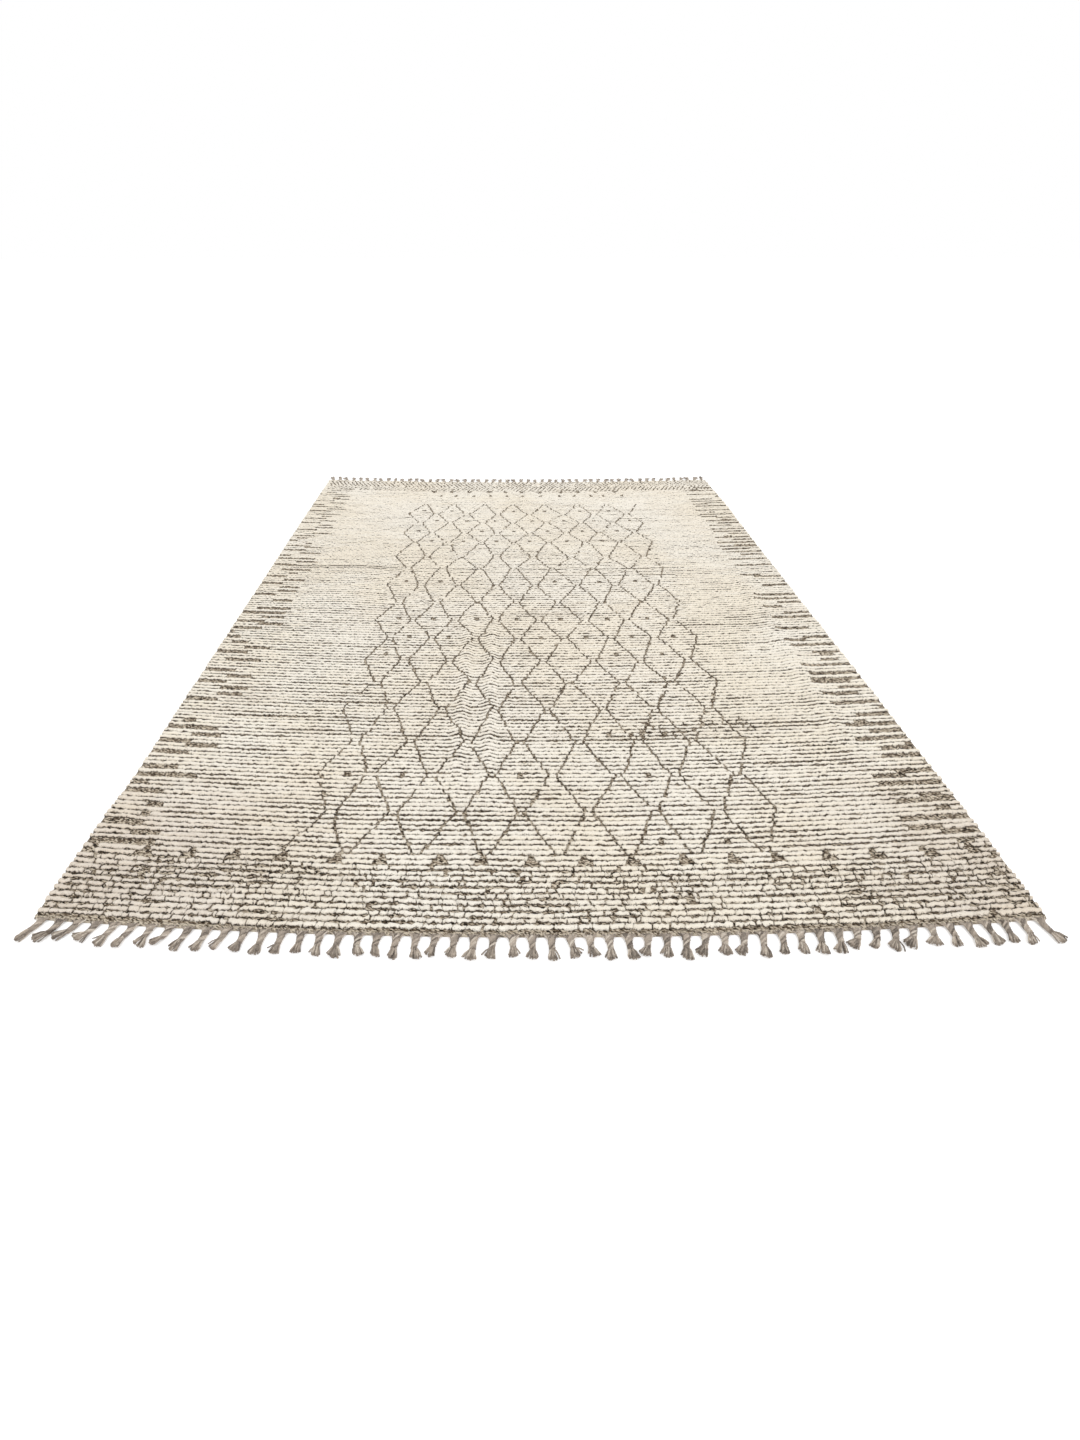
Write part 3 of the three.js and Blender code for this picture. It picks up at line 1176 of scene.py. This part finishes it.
@dataclass
class Fringe:
    """The tassels at one end: warps gathered from the band, twisted into a stalk, with a loose brush."""

    cloth: Cloth
    rng: np.random.Generator
    end: int  # -1 for the near end and 1 for the far end
    name: str
    leans: tuple[Lean, ...]
    count: int = 54
    length: float = 0.052
    lean_varies: float = 0.004
    lean_turn: float = 2.3
    length_varies: float = 0.004
    length_turn: float = 1.7
    corner_grows: float = 0.006  # how much longer a tassel at a corner of the rug is
    corner_from: float = 0.80  # how far across the lengthening starts
    clear_of_floor: float = 0.0002
    yarn_rough: float = 0.06  # how much a yarn's radius varies, as a share
    # The stalk. Places along a tassel are shares of its length.
    stalk_starts: float = 0.02
    stalk_ends: float = 0.60
    stalk_height: float = 0.0050
    orbit: float = 0.0046  # from the middle of the stalk to the middle of a ply
    orbit_narrows: float = 0.80
    orbit_flatness: float = 0.62
    turns: float = 1.0
    ply_rough: float = 0.0002
    # The brush, which opens from the stalk's end like a bell.
    tucked: float = 0.05  # how far back into the stalk its yarns start
    brush_half: float = 0.0155
    half_varies: Span = (0.78, 1.06)
    bell: float = 0.85  # the power by which it opens
    falls: float = 1.4  # the power by which it drops
    brush_lands: Span = (0.0014, 0.0084)
    brush_puff: float = 0.0024
    brush_strays: float = 0.0042
    brush_rough: float = 0.0004
    gathered_half: float = 0.8  # its half width and height where it leaves the stalk, in orbits
    gathered_height: float = 0.5
    keeps_order: float = 0.85  # how far a yarn keeps its place in the bundle as the brush opens
    loses_order: float = 0.15
    wisp_share: float = 0.07
    wisp_spread: float = 1.45
    trim_strays: float = 0.03  # how unevenly the ends are cut
    trim_rounds: float = 0.10  # how much shorter the yarns at the sides of the brush are
    # The web of warps between the band and the stalk.
    web_starts: float = -0.09
    web_length: float = 0.34
    web_half: float = 0.0130
    web_gathers: float = 1.3  # how fast the warps come together
    web_narrows: float = 0.55  # what that takes off their spread, as a share
    web_height: float = 0.0044
    web_arch: float = 0.0012
    web_rough: float = 0.0004
    # A yarn's square of the bake map: its tube, and the discs of its two ends, in shares of the square.
    tube_left: float = 0.05
    tube_width: float = 0.90
    tube_bottom: float = 0.12
    tube_length: float = 0.74
    disc_size: float = 0.03
    disc_places: Span = (0.05, 0.93)
    plies: YarnGroup = YarnGroup(count=6, sides=5, stations=13, radius=0.0030, flatness=0.8, narrows=0.85)
    brush: YarnGroup = YarnGroup(count=22, sides=4, stations=6, radius=0.00165)
    web: YarnGroup = YarnGroup(count=8, sides=4, stations=5, radius=0.0018)

    def add_yarn(self, heap: MeshHeap, path: np.ndarray, group: YarnGroup, cell: tuple) -> None:
        """Adds one yarn as a tube along a path.

        Args:
            heap: Where it goes.
            path: The points along its middle. One that is too low is lifted to clear the floor.
            group: The yarns that it is one of.
            cell: The left, the bottom and the size of its square of the bake map.
        """
        count, sides = len(path), group.sides
        uneven = 1 + self.rng.normal(0, self.yarn_rough, count)
        radii = group.radius * uneven * np.linspace(1, group.narrows, count)
        path[:, 2] = np.maximum(path[:, 2], radii * group.flatness + self.clear_of_floor)
        heading = np.gradient(path, axis=0)
        heading /= np.linalg.norm(heading, axis=1, keepdims=True)
        beside = np.cross(heading, (0.0, 0.0, 1.0))
        beside /= np.linalg.norm(beside, axis=1, keepdims=True)
        above = np.cross(beside, heading)
        angles = -2 * math.pi * np.arange(sides) / sides
        sideways = np.cos(angles)[None, :, None] * beside[:, None]
        upwards = np.sin(angles)[None, :, None] * above[:, None] * group.flatness
        rings = path[:, None] + (sideways + upwards) * radii[:, None, None]
        share = np.broadcast_to(np.linspace(0, 1, count)[:, None], rings.shape[:2])
        tint = np.full(rings.shape[:2], self.rng.uniform(0, 1))
        left, bottom, size = cell
        u = left + size * (self.tube_left + self.tube_width * np.arange(sides + 1) / sides)
        v = bottom + size * (self.tube_bottom + self.tube_length * np.linspace(0, 1, count))
        ring_map = np.stack(np.meshgrid(v, u, indexing="ij")[::-1], -1)
        disc = self.disc_size * size * np.stack([np.cos(angles), np.sin(angles)], -1)
        first, last = (disc + (left + size / 2, bottom + place * size) for place in self.disc_places)
        heap.add_tube(rings, rings, tint, share, ring_map, (first, last))

    def centre(self, index: int, share: np.ndarray) -> tuple[np.ndarray, np.ndarray]:
        """The middle line of a tassel, in plan.

        Args:
            index: The tassel's number, from the left.
            share: Shares of the tassel's length.

        Returns:
            The points, and the unit directions that point to the right across the tassel there.
        """
        across = -self.cloth.half_width + 2 * self.cloth.half_width / self.count * (index + 0.5)
        lean = float(eased(self.leans, "across", "lean", across))
        lean += self.lean_varies * math.sin(self.lean_turn * index)
        length = self.length + self.length_varies * math.sin(self.length_turn * index)
        length += self.corner_grows * max(0, abs(across) - self.corner_from) / (1 - self.corner_from)
        outwards = math.sqrt(length**2 - lean**2)
        root = self.cloth.lay(np.array(across), np.array(self.end * self.cloth.half_length), np.array(0.0))
        x = root[0] + lean * share**2
        y = root[1] + self.end * outwards * share
        slope = 2 * lean * share / outwards
        right = np.stack([np.ones_like(share), -slope * self.end], -1)
        right /= np.linalg.norm(right, axis=-1, keepdims=True)
        return np.stack([x, y], -1), right

    def path(self, index: int, share: np.ndarray, aside: np.ndarray, height: np.ndarray) -> np.ndarray:
        """Points at some distance to the right of a tassel's middle line, and at some height."""
        middle, right = self.centre(index, share)
        return np.concatenate([middle + right * aside[:, None], height[:, None]], -1)

    def stalk_paths(self, index: int) -> list[np.ndarray]:
        """The twisted plies of a tassel's stalk."""
        share = np.linspace(self.stalk_starts, self.stalk_ends, self.plies.stations)
        turned = self.rng.uniform(0, 1)
        orbit = self.orbit * np.linspace(1, self.orbit_narrows, len(share))
        paths = []
        for ply in range(self.plies.count):
            angle = 2 * math.pi * (ply / self.plies.count + turned + self.turns * share / self.stalk_ends)
            aside = orbit * np.cos(angle) + self.rng.normal(0, self.ply_rough, len(share))
            height = self.stalk_height + self.orbit_flatness * orbit * np.sin(angle)
            paths.append(self.path(index, share, aside, height))
        return paths

    def brush_paths(self, index: int) -> list[np.ndarray]:
        """The loose yarns beyond the stalk, which spread and drop to the floor."""
        paths = []
        drift = self.rng.normal(0, self.brush_strays)
        spread = self.brush_half * self.rng.uniform(*self.half_varies)
        grow = np.linspace(0, 1, self.brush.stations)
        starts = self.stalk_ends - self.tucked
        for _ in range(self.brush.count):
            angle, reach = self.rng.uniform(0, 2 * math.pi), math.sqrt(self.rng.uniform(0, 1))
            right, up = reach * math.cos(angle), reach * math.sin(angle)
            start_aside = self.gathered_half * self.orbit * right
            start_height = self.stalk_height + self.gathered_height * self.orbit * up
            outwards = self.keeps_order * right + self.loses_order * self.rng.uniform(-1, 1)
            outwards *= self.wisp_spread if self.rng.random() < self.wisp_share else 1
            end_aside = drift + spread * outwards
            end_height = self.rng.uniform(*self.brush_lands)
            ends = 1 - abs(self.rng.normal(0, self.trim_strays)) - self.trim_rounds * min(outwards**2, 1)
            share = starts + (ends - starts) * grow
            aside = start_aside + (end_aside - start_aside) * grow**self.bell
            height = start_height + (end_height - start_height) * grow**self.falls
            height += self.brush_puff * self.rng.uniform(0, 1) * np.sin(math.pi * grow)
            aside += self.rng.normal(0, self.brush_rough, self.brush.stations)
            paths.append(self.path(index, share, aside, height))
        return paths

    def web_paths(self, index: int) -> list[np.ndarray]:
        """The warps that leave the band and gather into the stalk."""
        grow = np.linspace(0, 1, self.web.stations)
        share = self.web_starts + self.web_length * grow
        half = self.web_half * (1 - self.web_narrows * smooth(np.minimum(grow * self.web_gathers, 1)))
        arch = self.web_height + self.web_arch * np.sin(grow * math.pi)
        paths = []
        for place in np.linspace(-1, 1, self.web.count):
            height = arch + self.rng.normal(0, self.web_rough)
            aside = half * place + self.rng.normal(0, self.web_rough, self.web.stations)
            paths.append(self.path(index, share, aside, height))
        return paths

    def build(self) -> bpy.types.Object:
        """Builds every tassel of this end as one piece."""
        heap = MeshHeap()
        groups = ((self.plies, self.stalk_paths), (self.brush, self.brush_paths), (self.web, self.web_paths))
        total = self.count * sum(group.count for group, _ in groups)
        cells = math.ceil(math.sqrt(total))
        number = 0
        for index in range(self.count):
            for group, paths in groups:
                for path in paths(index):
                    cell = (number % cells / cells, number // cells / cells, 1 / cells)
                    self.add_yarn(heap, path, group, cell)
                    number += 1
        return heap.make(self.name)


class Wire:
    """A value or a colour in a shader. Maths on it is written as an expression."""

    def __init__(self, nodes: "Nodes", socket: bpy.types.NodeSocket) -> None:
        """Wraps a node's output socket."""
        self.nodes = nodes
        self.socket = socket

    def maths(self, operation: str, *values: "Wire | float") -> "Wire":
        """Feeds values to a Math node."""
        return self.nodes.add("ShaderNodeMath", {"operation": operation}, dict(enumerate(values)))

    def __add__(self, other: "Wire | float") -> "Wire":
        """The sum."""
        return self.maths("ADD", self, other)

    def __radd__(self, other: float) -> "Wire":
        """The sum, from the right."""
        return self.maths("ADD", other, self)

    def __sub__(self, other: "Wire | float") -> "Wire":
        """The difference."""
        return self.maths("SUBTRACT", self, other)

    def __rsub__(self, other: float) -> "Wire":
        """A number less this value."""
        return self.maths("SUBTRACT", other, self)

    def __mul__(self, other: "Wire | float") -> "Wire":
        """The product."""
        return self.maths("MULTIPLY", self, other)

    def __rmul__(self, other: float) -> "Wire":
        """The product, from the right."""
        return self.maths("MULTIPLY", other, self)

    def __abs__(self) -> "Wire":
        """The value without its sign."""
        return self.maths("ABSOLUTE", self)

    def ramp(self, low: float, high: float) -> "Wire":
        """Eases from 0 at low to 1 at high."""
        settings = {"interpolation_type": "SMOOTHSTEP"}
        return self.nodes.add("ShaderNodeMapRange", settings, {0: self, 1: low, 2: high})

    def axis(self, name: str) -> "Wire":
        """One of a vector's three numbers: X, Y or Z."""
        return self.nodes.add("ShaderNodeSeparateXYZ", None, {0: self}, output=name)

    def beside(self, output: str) -> "Wire":
        """Another output of the same node."""
        return Wire(self.nodes, self.socket.node.outputs[output])


class Nodes:
    """The nodes of a new material. One method adds them all."""

    def __init__(self, name: str) -> None:
        """Starts a material from a Principled shader."""
        self.material = bpy.data.materials.new(name)
        self.material.use_nodes = True
        self.tree = self.material.node_tree
        self.shader = self.tree.nodes["Principled BSDF"]

    def add(
        self,
        kind: str,
        settings: dict | None = None,
        inputs: dict | None = None,
        output: int | str = 0,
    ) -> Wire:
        """Adds a node.

        Args:
            kind: The node's type.
            settings: Its settings, which are made first. "stops" fills a colour ramp.
            inputs: Values or wires, by the number or name of their sockets.
            output: The socket to hand back.

        Returns:
            The wire from that socket.
        """
        node = self.tree.nodes.new(kind)
        for key, value in (settings or {}).items():
            if key == "stops":
                self.set_stops(node.color_ramp, value)
            else:
                setattr(node, key, value)
        for key, value in (inputs or {}).items():
            self.feed(node.inputs[key], value)
        return Wire(self, node.outputs[output])

    def feed(self, socket: bpy.types.NodeSocket, value: object) -> None:
        """Links a wire to a socket, or sets the socket to a plain value."""
        if isinstance(value, Wire):
            self.tree.links.new(value.socket, socket)
        else:
            socket.default_value = value

    def set_stops(self, ramp: bpy.types.ColorRamp, stops: Sequence[tuple]) -> None:
        """Gives a colour ramp its stops, each a place and a colour."""
        while len(ramp.elements) < len(stops):
            ramp.elements.new(0.5)
        for element, (position, colour) in zip(ramp.elements, stops):
            element.position = position
            element.color = colour

    def read(self, name: str, output: str = "Fac") -> Wire:
        """Reads one of the mesh's attributes."""
        return self.add("ShaderNodeAttribute", {"attribute_name": name}, output=output)

    def vector_maths(self, operation: str, *values: Wire | Three) -> Wire:
        """Feeds vectors to a Vector Math node."""
        return self.add("ShaderNodeVectorMath", {"operation": operation}, dict(enumerate(values)))

    def noise(self, vector: Wire, cells: Three, detail: float = 2.0) -> Wire:
        """Soft noise with so many cells a metre along each axis."""
        inputs = {"Vector": self.vector_maths("MULTIPLY", vector, cells), "Scale": 1.0, "Detail": detail}
        return self.add("ShaderNodeTexNoise", None, inputs)

    def shaken(self, vector: Wire, cells: float, reach: float) -> Wire:
        """A vector pushed about by noise, which makes what it places less regular."""
        inputs = {"Vector": vector, "Scale": cells, "Detail": 1.0}
        push = self.add("ShaderNodeTexNoise", None, inputs, output="Color")
        push = self.vector_maths("SUBTRACT", push, (0.5,) * 3)
        return self.vector_maths("MULTIPLY_ADD", push, (reach,) * 3, vector)

    def gradient(self, value: Wire, stops: Sequence[tuple[float, Colour]]) -> Wire:
        """Turns a value into a colour, by stops from dark to light."""
        return self.add("ShaderNodeValToRGB", {"stops": stops}, {0: value})

    def blend(self, factor: Wire | float, first: object, second: object, how: str = "MIX") -> Wire:
        """Mixes two colours."""
        settings = {"data_type": "RGBA", "blend_type": how}
        return self.add("ShaderNodeMix", settings, {0: factor, 6: first, 7: second}, output=2)

    def bump(self, height: Wire, distance: float, strength: float) -> Wire:
        """Turns a height into a normal."""
        inputs = {"Height": height, "Distance": distance, "Strength": strength}
        return self.add("ShaderNodeBump", None, inputs, output="Normal")

    def shade(self, inputs: dict[str, object]) -> bpy.types.Material:
        """Feeds the shader's sockets, by name, and hands the material back."""
        for name, value in inputs.items():
            self.feed(self.shader.inputs[name], value)
        return self.material

    def wool(self, colour: Wire, normal: Wire, roughness: float, sheen: float) -> bpy.types.Material:
        """Feeds the shader as wool, which is matt and fuzzy.

        Args:
            colour: The surface colour.
            normal: The bumped normal.
            roughness: How matt it is.
            sheen: How much light its fuzz catches.

        Returns:
            The material.
        """
        return self.shade({
            "Base Color": colour,
            "Normal": normal,
            "Roughness": roughness,
            "Specular IOR Level": WOOL_SPECULAR,
            "Sheen Weight": sheen,
            "Sheen Roughness": FUZZ_ROUGHNESS,
        })


@dataclass(frozen=True)
class PileWool:
    """Undyed cream pile, uneven from row to row. Its foot is darker: partly dark ground fibre showing,
    partly painted shade between the rows.

    Cells are a noise's cells a metre along each axis. A range says from which value to which one a colour
    comes in, and a strength how far it comes in at most.
    """

    pale: Colour = srgb(250, 244, 232)
    warm: Colour = srgb(247, 238, 221)
    grey: Colour = srgb(224, 214, 200)
    fleck: Colour = srgb(163, 141, 115)
    # The foot colour: partly dark ground fibre, partly painted shade down between the rows.
    foot: Colour = srgb(64, 49, 33)
    # Painted shade: what is left of the wool's lightness at the near corners.
    corner_shade: Colour = (0.84, 0.80, 0.78, 1.0)  # what is left of its lightness where it is dullest
    patch_cells: Three = (2.2, 1.6, 0.0)
    streak_cells: Three = (7.0, 70.0, 0.0)
    streaked: float = 0.5  # how much of the warm tone runs in streaks along the rows
    warm_range: Span = (0.35, 0.65)
    tuft_cells: Three = (170.0, 90.0, 120.0)
    grey_by_row: float = 0.7
    grey_by_tuft: float = 0.5
    grey_range: Span = (0.55, 1.1)
    grey_strength: float = 0.6
    fibre_cells: Three = (620.0, 520.0, 700.0)
    fleck_range: Span = (0.02, 0.40)
    fleck_strength: float = 0.55
    flecks_low: float = 0.3  # how much likelier flecks are towards the foot
    foot_cells: Three = (300.0, 190.0, 300.0)
    foot_ragged: float = 1.1
    foot_range: Span = (0.26, 0.60)
    foot_strength: float = 0.95
    tuft_bump: float = 0.9
    fibre_bump: float = 0.7
    bump_reach: float = 0.0026
    bump_strength: float = 0.85
    roughness: float = 0.92
    sheen: float = 0.12
    # Painted shade that darkens the wool towards the near corners, where the light falls off: from the
    # middle line outwards, and towards the near end.
    shade_middle: float = 0.08
    shade_outwards: Span = (0.35, 1.05)
    shade_nearwards: Span = (0.85, 1.35)

    def material(self) -> bpy.types.Material:
        """Builds the material."""
        nodes = Nodes("cream_pile")
        place = nodes.read(PLACE, "Vector")
        share = nodes.read(SHARE)
        tint = nodes.read(TINT)
        patches = nodes.noise(place, self.patch_cells, 3.0)
        streaks = nodes.noise(place, self.streak_cells)
        tufts = nodes.noise(place, self.tuft_cells)
        fibres = nodes.noise(place, self.fibre_cells, 3.0)
        ragged = nodes.noise(place, self.foot_cells)
        warm = (patches + (streaks - 0.5) * self.streaked).ramp(*self.warm_range)
        colour = nodes.blend(warm, self.pale, self.warm)
        grey = (tint * self.grey_by_row + tufts * self.grey_by_tuft).ramp(*self.grey_range)
        colour = nodes.blend(grey * self.grey_strength, colour, self.grey)
        fleck = (fibres - 0.5 + (1 - share) * self.flecks_low).ramp(*self.fleck_range)
        colour = nodes.blend(fleck * self.fleck_strength, colour, self.fleck)
        # Painted shade and ground fibre: the foot of each row is darkened.
        foot = (1 - share + (ragged - 0.5) * self.foot_ragged).ramp(*self.foot_range)
        colour = nodes.blend(foot * self.foot_strength, colour, self.foot)
        # Painted shade: darker towards the two near corners.
        colour = nodes.blend(self.near_corner_shade(place), colour, self.corner_shade, "MULTIPLY")
        height = tufts * self.tuft_bump + fibres * self.fibre_bump
        normal = nodes.bump(height, self.bump_reach, self.bump_strength)
        return nodes.wool(colour, normal, self.roughness, self.sheen)

    def near_corner_shade(self, place: Wire) -> Wire:
        """How near a point is to the two near corners, where painted shade makes the wool a little darker.
        """
        outwards = abs(place.axis("X") - self.shade_middle).ramp(*self.shade_outwards)
        return outwards * (0 - place.axis("Y")).ramp(*self.shade_nearwards)


@dataclass(frozen=True)
class PepperWeave:
    """The woven ground: dark, brown and pale yarns crossing in small speckles.

    Short rounded floats of yarn lie across it, each in one shade and slanting a little as twisted yarn
    does, with creases round them that are darkened as painted shade.
    """

    name: str
    edging: float = 0.0  # how far it turns to plain taupe warp towards an end of the rug
    length: float = 0.0046  # of a float
    width: float = 0.0026
    leans_pale: float = -0.30  # how far its mixture leans to the pale yarns
    dark: Colour = srgb(38, 30, 22)
    brown: Colour = srgb(106, 90, 72)
    taupe: Colour = srgb(170, 154, 133)
    pale: Colour = srgb(232, 219, 198)
    warp: Colour = srgb(168, 158, 144)
    places: tuple[float, ...] = (0.16, 0.34, 0.56, 0.76)  # of the first four colours in the mixture
    slant: float = 0.5  # how far a float slants, in lengths for each width
    scatter: float = 0.72  # how unevenly floats lie, from 0 to 1
    shaken_cells: float = 420.0
    shaken_by: float = 0.0016
    clump_cells: Three = (60.0, 90.0, 0.0)
    fibre_cells: Three = (500.0, 1700.0, 0.0)
    mixed_by_float: float = 1.15
    mixed_by_clump: float = 0.2
    mixed_by_fibre: float = 0.35
    # Painted shade in the creases round the floats.
    crease_shade: float = -0.15
    crease_range: Span = (0.10, 0.72)
    warp_range: Span = (0.60, 1.0)
    fibre_bump: float = 0.4
    bump_reach: float = 0.0018
    bump_strength: float = 0.9
    roughness: float = 0.95
    sheen: float = 0.05

    def floats(self, nodes: Nodes, vector: Wire) -> tuple[Wire, Wire]:
        """Lays the floats.

        Args:
            nodes: The material's nodes.
            vector: Where each point lies on the cloth.

        Returns:
            A chance for each float, and how deep the creases round them are. The chance is a random
            colour that the maths reads as its grey, so middling chances are the commonest.
        """
        rows = nodes.vector_maths("MULTIPLY", vector, (1 / self.length, 1 / self.width, 0.0))
        slant = rows.axis("Y") * self.slant + vector.axis("Z") * (1 / self.length)
        rows = nodes.vector_maths("ADD", rows, nodes.add("ShaderNodeCombineXYZ", None, {0: slant}))
        inputs = {"Vector": rows, "Scale": 1.0, "Randomness": self.scatter}
        cells = nodes.add("ShaderNodeTexVoronoi", {"voronoi_dimensions": "2D"}, inputs, output="Color")
        return cells, cells.beside("Distance").ramp(*self.crease_range)

    def material(self) -> bpy.types.Material:
        """Builds the material."""
        nodes = Nodes(self.name)
        place = nodes.read(PLACE, "Vector")
        chance, creases = self.floats(nodes, nodes.shaken(place, self.shaken_cells, self.shaken_by))
        clumps = nodes.noise(place, self.clump_cells)
        fibres = nodes.noise(place, self.fibre_cells)
        mixed = chance * self.mixed_by_float + clumps * self.mixed_by_clump + fibres * self.mixed_by_fibre
        # Painted shade: the creases round the floats are darker.
        mixed = mixed + creases * self.crease_shade + self.leans_pale
        colours = (self.dark, self.brown, self.taupe, self.pale)
        yarn = nodes.gradient(mixed, tuple(zip(self.places, colours)))
        if self.edging:
            outward = nodes.read(SHARE).ramp(*self.warp_range)
            yarn = nodes.blend(outward * self.edging, yarn, self.warp)
        normal = nodes.bump(fibres * self.fibre_bump - creases, self.bump_reach, self.bump_strength)
        return nodes.wool(yarn, normal, self.roughness, self.sheen)


@dataclass(frozen=True)
class TasselYarn:
    """Twisted taupe warp yarn, each one a little lighter or darker than the next."""

    dark: Colour = srgb(74, 65, 57)
    middle: Colour = srgb(154, 143, 132)
    warm: Colour = srgb(186, 172, 157)
    light: Colour = srgb(220, 211, 198)
    # Yarn ends darken towards this: partly the darker cut ends, partly painted shade between the yarns.
    cut_end_and_shade: Colour = srgb(112, 99, 88)
    places: tuple[float, ...] = (0.0, 0.35, 0.7, 1.0)  # of the first four colours in the mixture
    fleck_cells: Three = (420.0, 420.0, 420.0)
    fibre_cells: Three = (1600.0, 500.0, 1600.0)
    mixed_by_yarn: float = 0.8
    mixed_by_fleck: float = 0.9
    leans_light: float = -0.34  # how far the mixture leans to the light yarns
    end_range: Span = (0.80, 1.0)
    end_strength: float = 0.5
    bump_reach: float = 0.0008
    bump_strength: float = 0.7
    roughness: float = 0.9
    sheen: float = 0.08

    def material(self) -> bpy.types.Material:
        """Builds the material."""
        nodes = Nodes("taupe_tassel_yarn")
        place = nodes.read(PLACE, "Vector")
        flecks = nodes.noise(place, self.fleck_cells)
        mixed = nodes.read(TINT) * self.mixed_by_yarn + flecks * self.mixed_by_fleck + self.leans_light
        colours = (self.dark, self.middle, self.warm, self.light)
        colour = nodes.gradient(mixed, tuple(zip(self.places, colours)))
        # Cut ends and painted shade: each yarn is darker towards its end.
        cut = nodes.read(SHARE).ramp(*self.end_range)
        colour = nodes.blend(cut * self.end_strength, colour, self.cut_end_and_shade)
        normal = nodes.bump(nodes.noise(place, self.fibre_cells), self.bump_reach, self.bump_strength)
        return nodes.wool(colour, normal, self.roughness, self.sheen)


@dataclass(frozen=True)
class Studio:
    """A white floor in soft light, seen by a camera that stands at the near end and looks down."""

    cloth: Cloth
    eye: Three = (-0.0715, -2.5024, 1.1454)
    pitch_down: float = 33.78
    lens: float = 18.595
    sensor: float = 36.0
    shift_x: float = 0.0249
    sight: float = 200.0  # how far the camera sees
    white: Colour = (1.0, 1.0, 1.0, 1.0)
    floor_side: float = 60.0
    floor_colour: Colour = (0.96, 0.96, 0.96, 1.0)
    floor_glow: float = 0.25
    dome_strength: float = 1.0
    key_strength: float = 0.48
    key_spread: float = 40.0
    key_tilt: Three = (32.0, 12.0, 0.0)

    def build(self) -> None:
        """Makes the floor, the light and the camera."""
        self.build_floor()
        self.build_light()
        self.build_camera()

    def build_floor(self) -> None:
        """A plain pale floor that the rug lies on."""
        mesh = bpy.data.meshes.new("floor")
        plane = bmesh.new()
        bmesh.ops.create_grid(plane, x_segments=1, y_segments=1, size=self.floor_side / 2)
        plane.to_mesh(mesh)
        plane.free()
        floor = link("floor", mesh)
        mesh.materials.append(Nodes("pale_floor").shade({
            "Base Color": self.floor_colour,
            "Roughness": 1.0,
            "Specular IOR Level": 0.0,
            "Emission Color": self.white,
            "Emission Strength": self.floor_glow,
        }))

    def build_light(self) -> None:
        """An even white dome with one soft key light from above and the near end."""
        scene = bpy.context.scene
        scene.world = bpy.data.worlds.new("studio_dome")
        scene.world.use_nodes = True
        background = scene.world.node_tree.nodes["Background"]
        background.inputs["Color"].default_value = self.white
        background.inputs["Strength"].default_value = self.dome_strength
        key = bpy.data.lights.new("key", "SUN")
        key.energy = self.key_strength
        key.angle = math.radians(self.key_spread)
        lamp = bpy.data.objects.new("key", key)
        lamp.rotation_euler = [math.radians(turn) for turn in self.key_tilt]
        bpy.context.collection.objects.link(lamp)
        scene.view_settings.view_transform = "Standard"

    def build_camera(self) -> None:
        """A wide camera held at chest height, which takes in the whole rug from its near end."""
        scene = bpy.context.scene
        data = bpy.data.cameras.new("camera")
        data.lens = self.lens
        data.sensor_width = self.sensor
        data.shift_x = self.shift_x
        data.clip_end = self.sight
        camera = bpy.data.objects.new("camera", data)
        camera.location = Vector(self.eye) + Vector((*self.cloth.origin, 0))
        camera.rotation_euler = (math.radians(90 - self.pitch_down), 0, 0)
        bpy.context.collection.objects.link(camera)
        scene.camera = camera


class Rug:
    """The whole rug, in the order that it is made."""

    def __init__(self, cloth: Cloth, seed: int = 20) -> None:
        """Keeps the lie of the cloth and starts the source of small irregularities."""
        self.cloth = cloth
        self.rng = np.random.default_rng(seed)

    def build(self) -> None:
        ground = WovenGround(self.cloth).build()
        draft = weavers_draft(RowPlan(self.cloth.field_half), self.rng)
        pile = PileRows(self.cloth, draft, self.rng).build()
        self.dress([ground], PepperWeave("pepper_ground").material(), "rug_field")
        self.dress(pile, PileWool().material(), "rug_field")
        edge_weave = PepperWeave(
            "end_band_weave", edging=0.4, length=0.0034, width=0.0021, leans_pale=-0.13
        ).material()
        tassel_yarn = TasselYarn().material()
        with_pieces = list(pile)
        for end, side, leans in ((-1, "near", NEAR_LEANS), (1, "far", FAR_LEANS)):
            band = EndBand(self.cloth, end, f"end_band_{side}").build()
            fringe = Fringe(self.cloth, self.rng, end, f"tassels_{side}", leans).build()
            self.dress([band], edge_weave, f"fringe_{side}")
            self.dress([fringe], tassel_yarn, f"fringe_{side}")
            with_pieces += [band, fringe]

    def dress(
        self,
        pieces: Iterable[bpy.types.Object],
        material: bpy.types.Material,
        node: str,
    ) -> None:
        """Gives pieces their material and ties them to the frame.

        Args:
            pieces: The pieces.
            material: What they are finished in.
            node: The solid that they stand for.
        """
        for piece in pieces:
            piece.data.materials.append(material)
            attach(piece, "root")
            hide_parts(node)
            log.info("%s: %d triangles", piece.name, triangles(piece))


def main() -> None:
    """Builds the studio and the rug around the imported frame."""
    logging.basicConfig(level=logging.INFO, format="%(name)s: %(message)s")
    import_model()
    cloth = Cloth.on_frame()
    Studio(cloth).build()
    Rug(cloth).build()


if __name__ == "__main__":
    main()
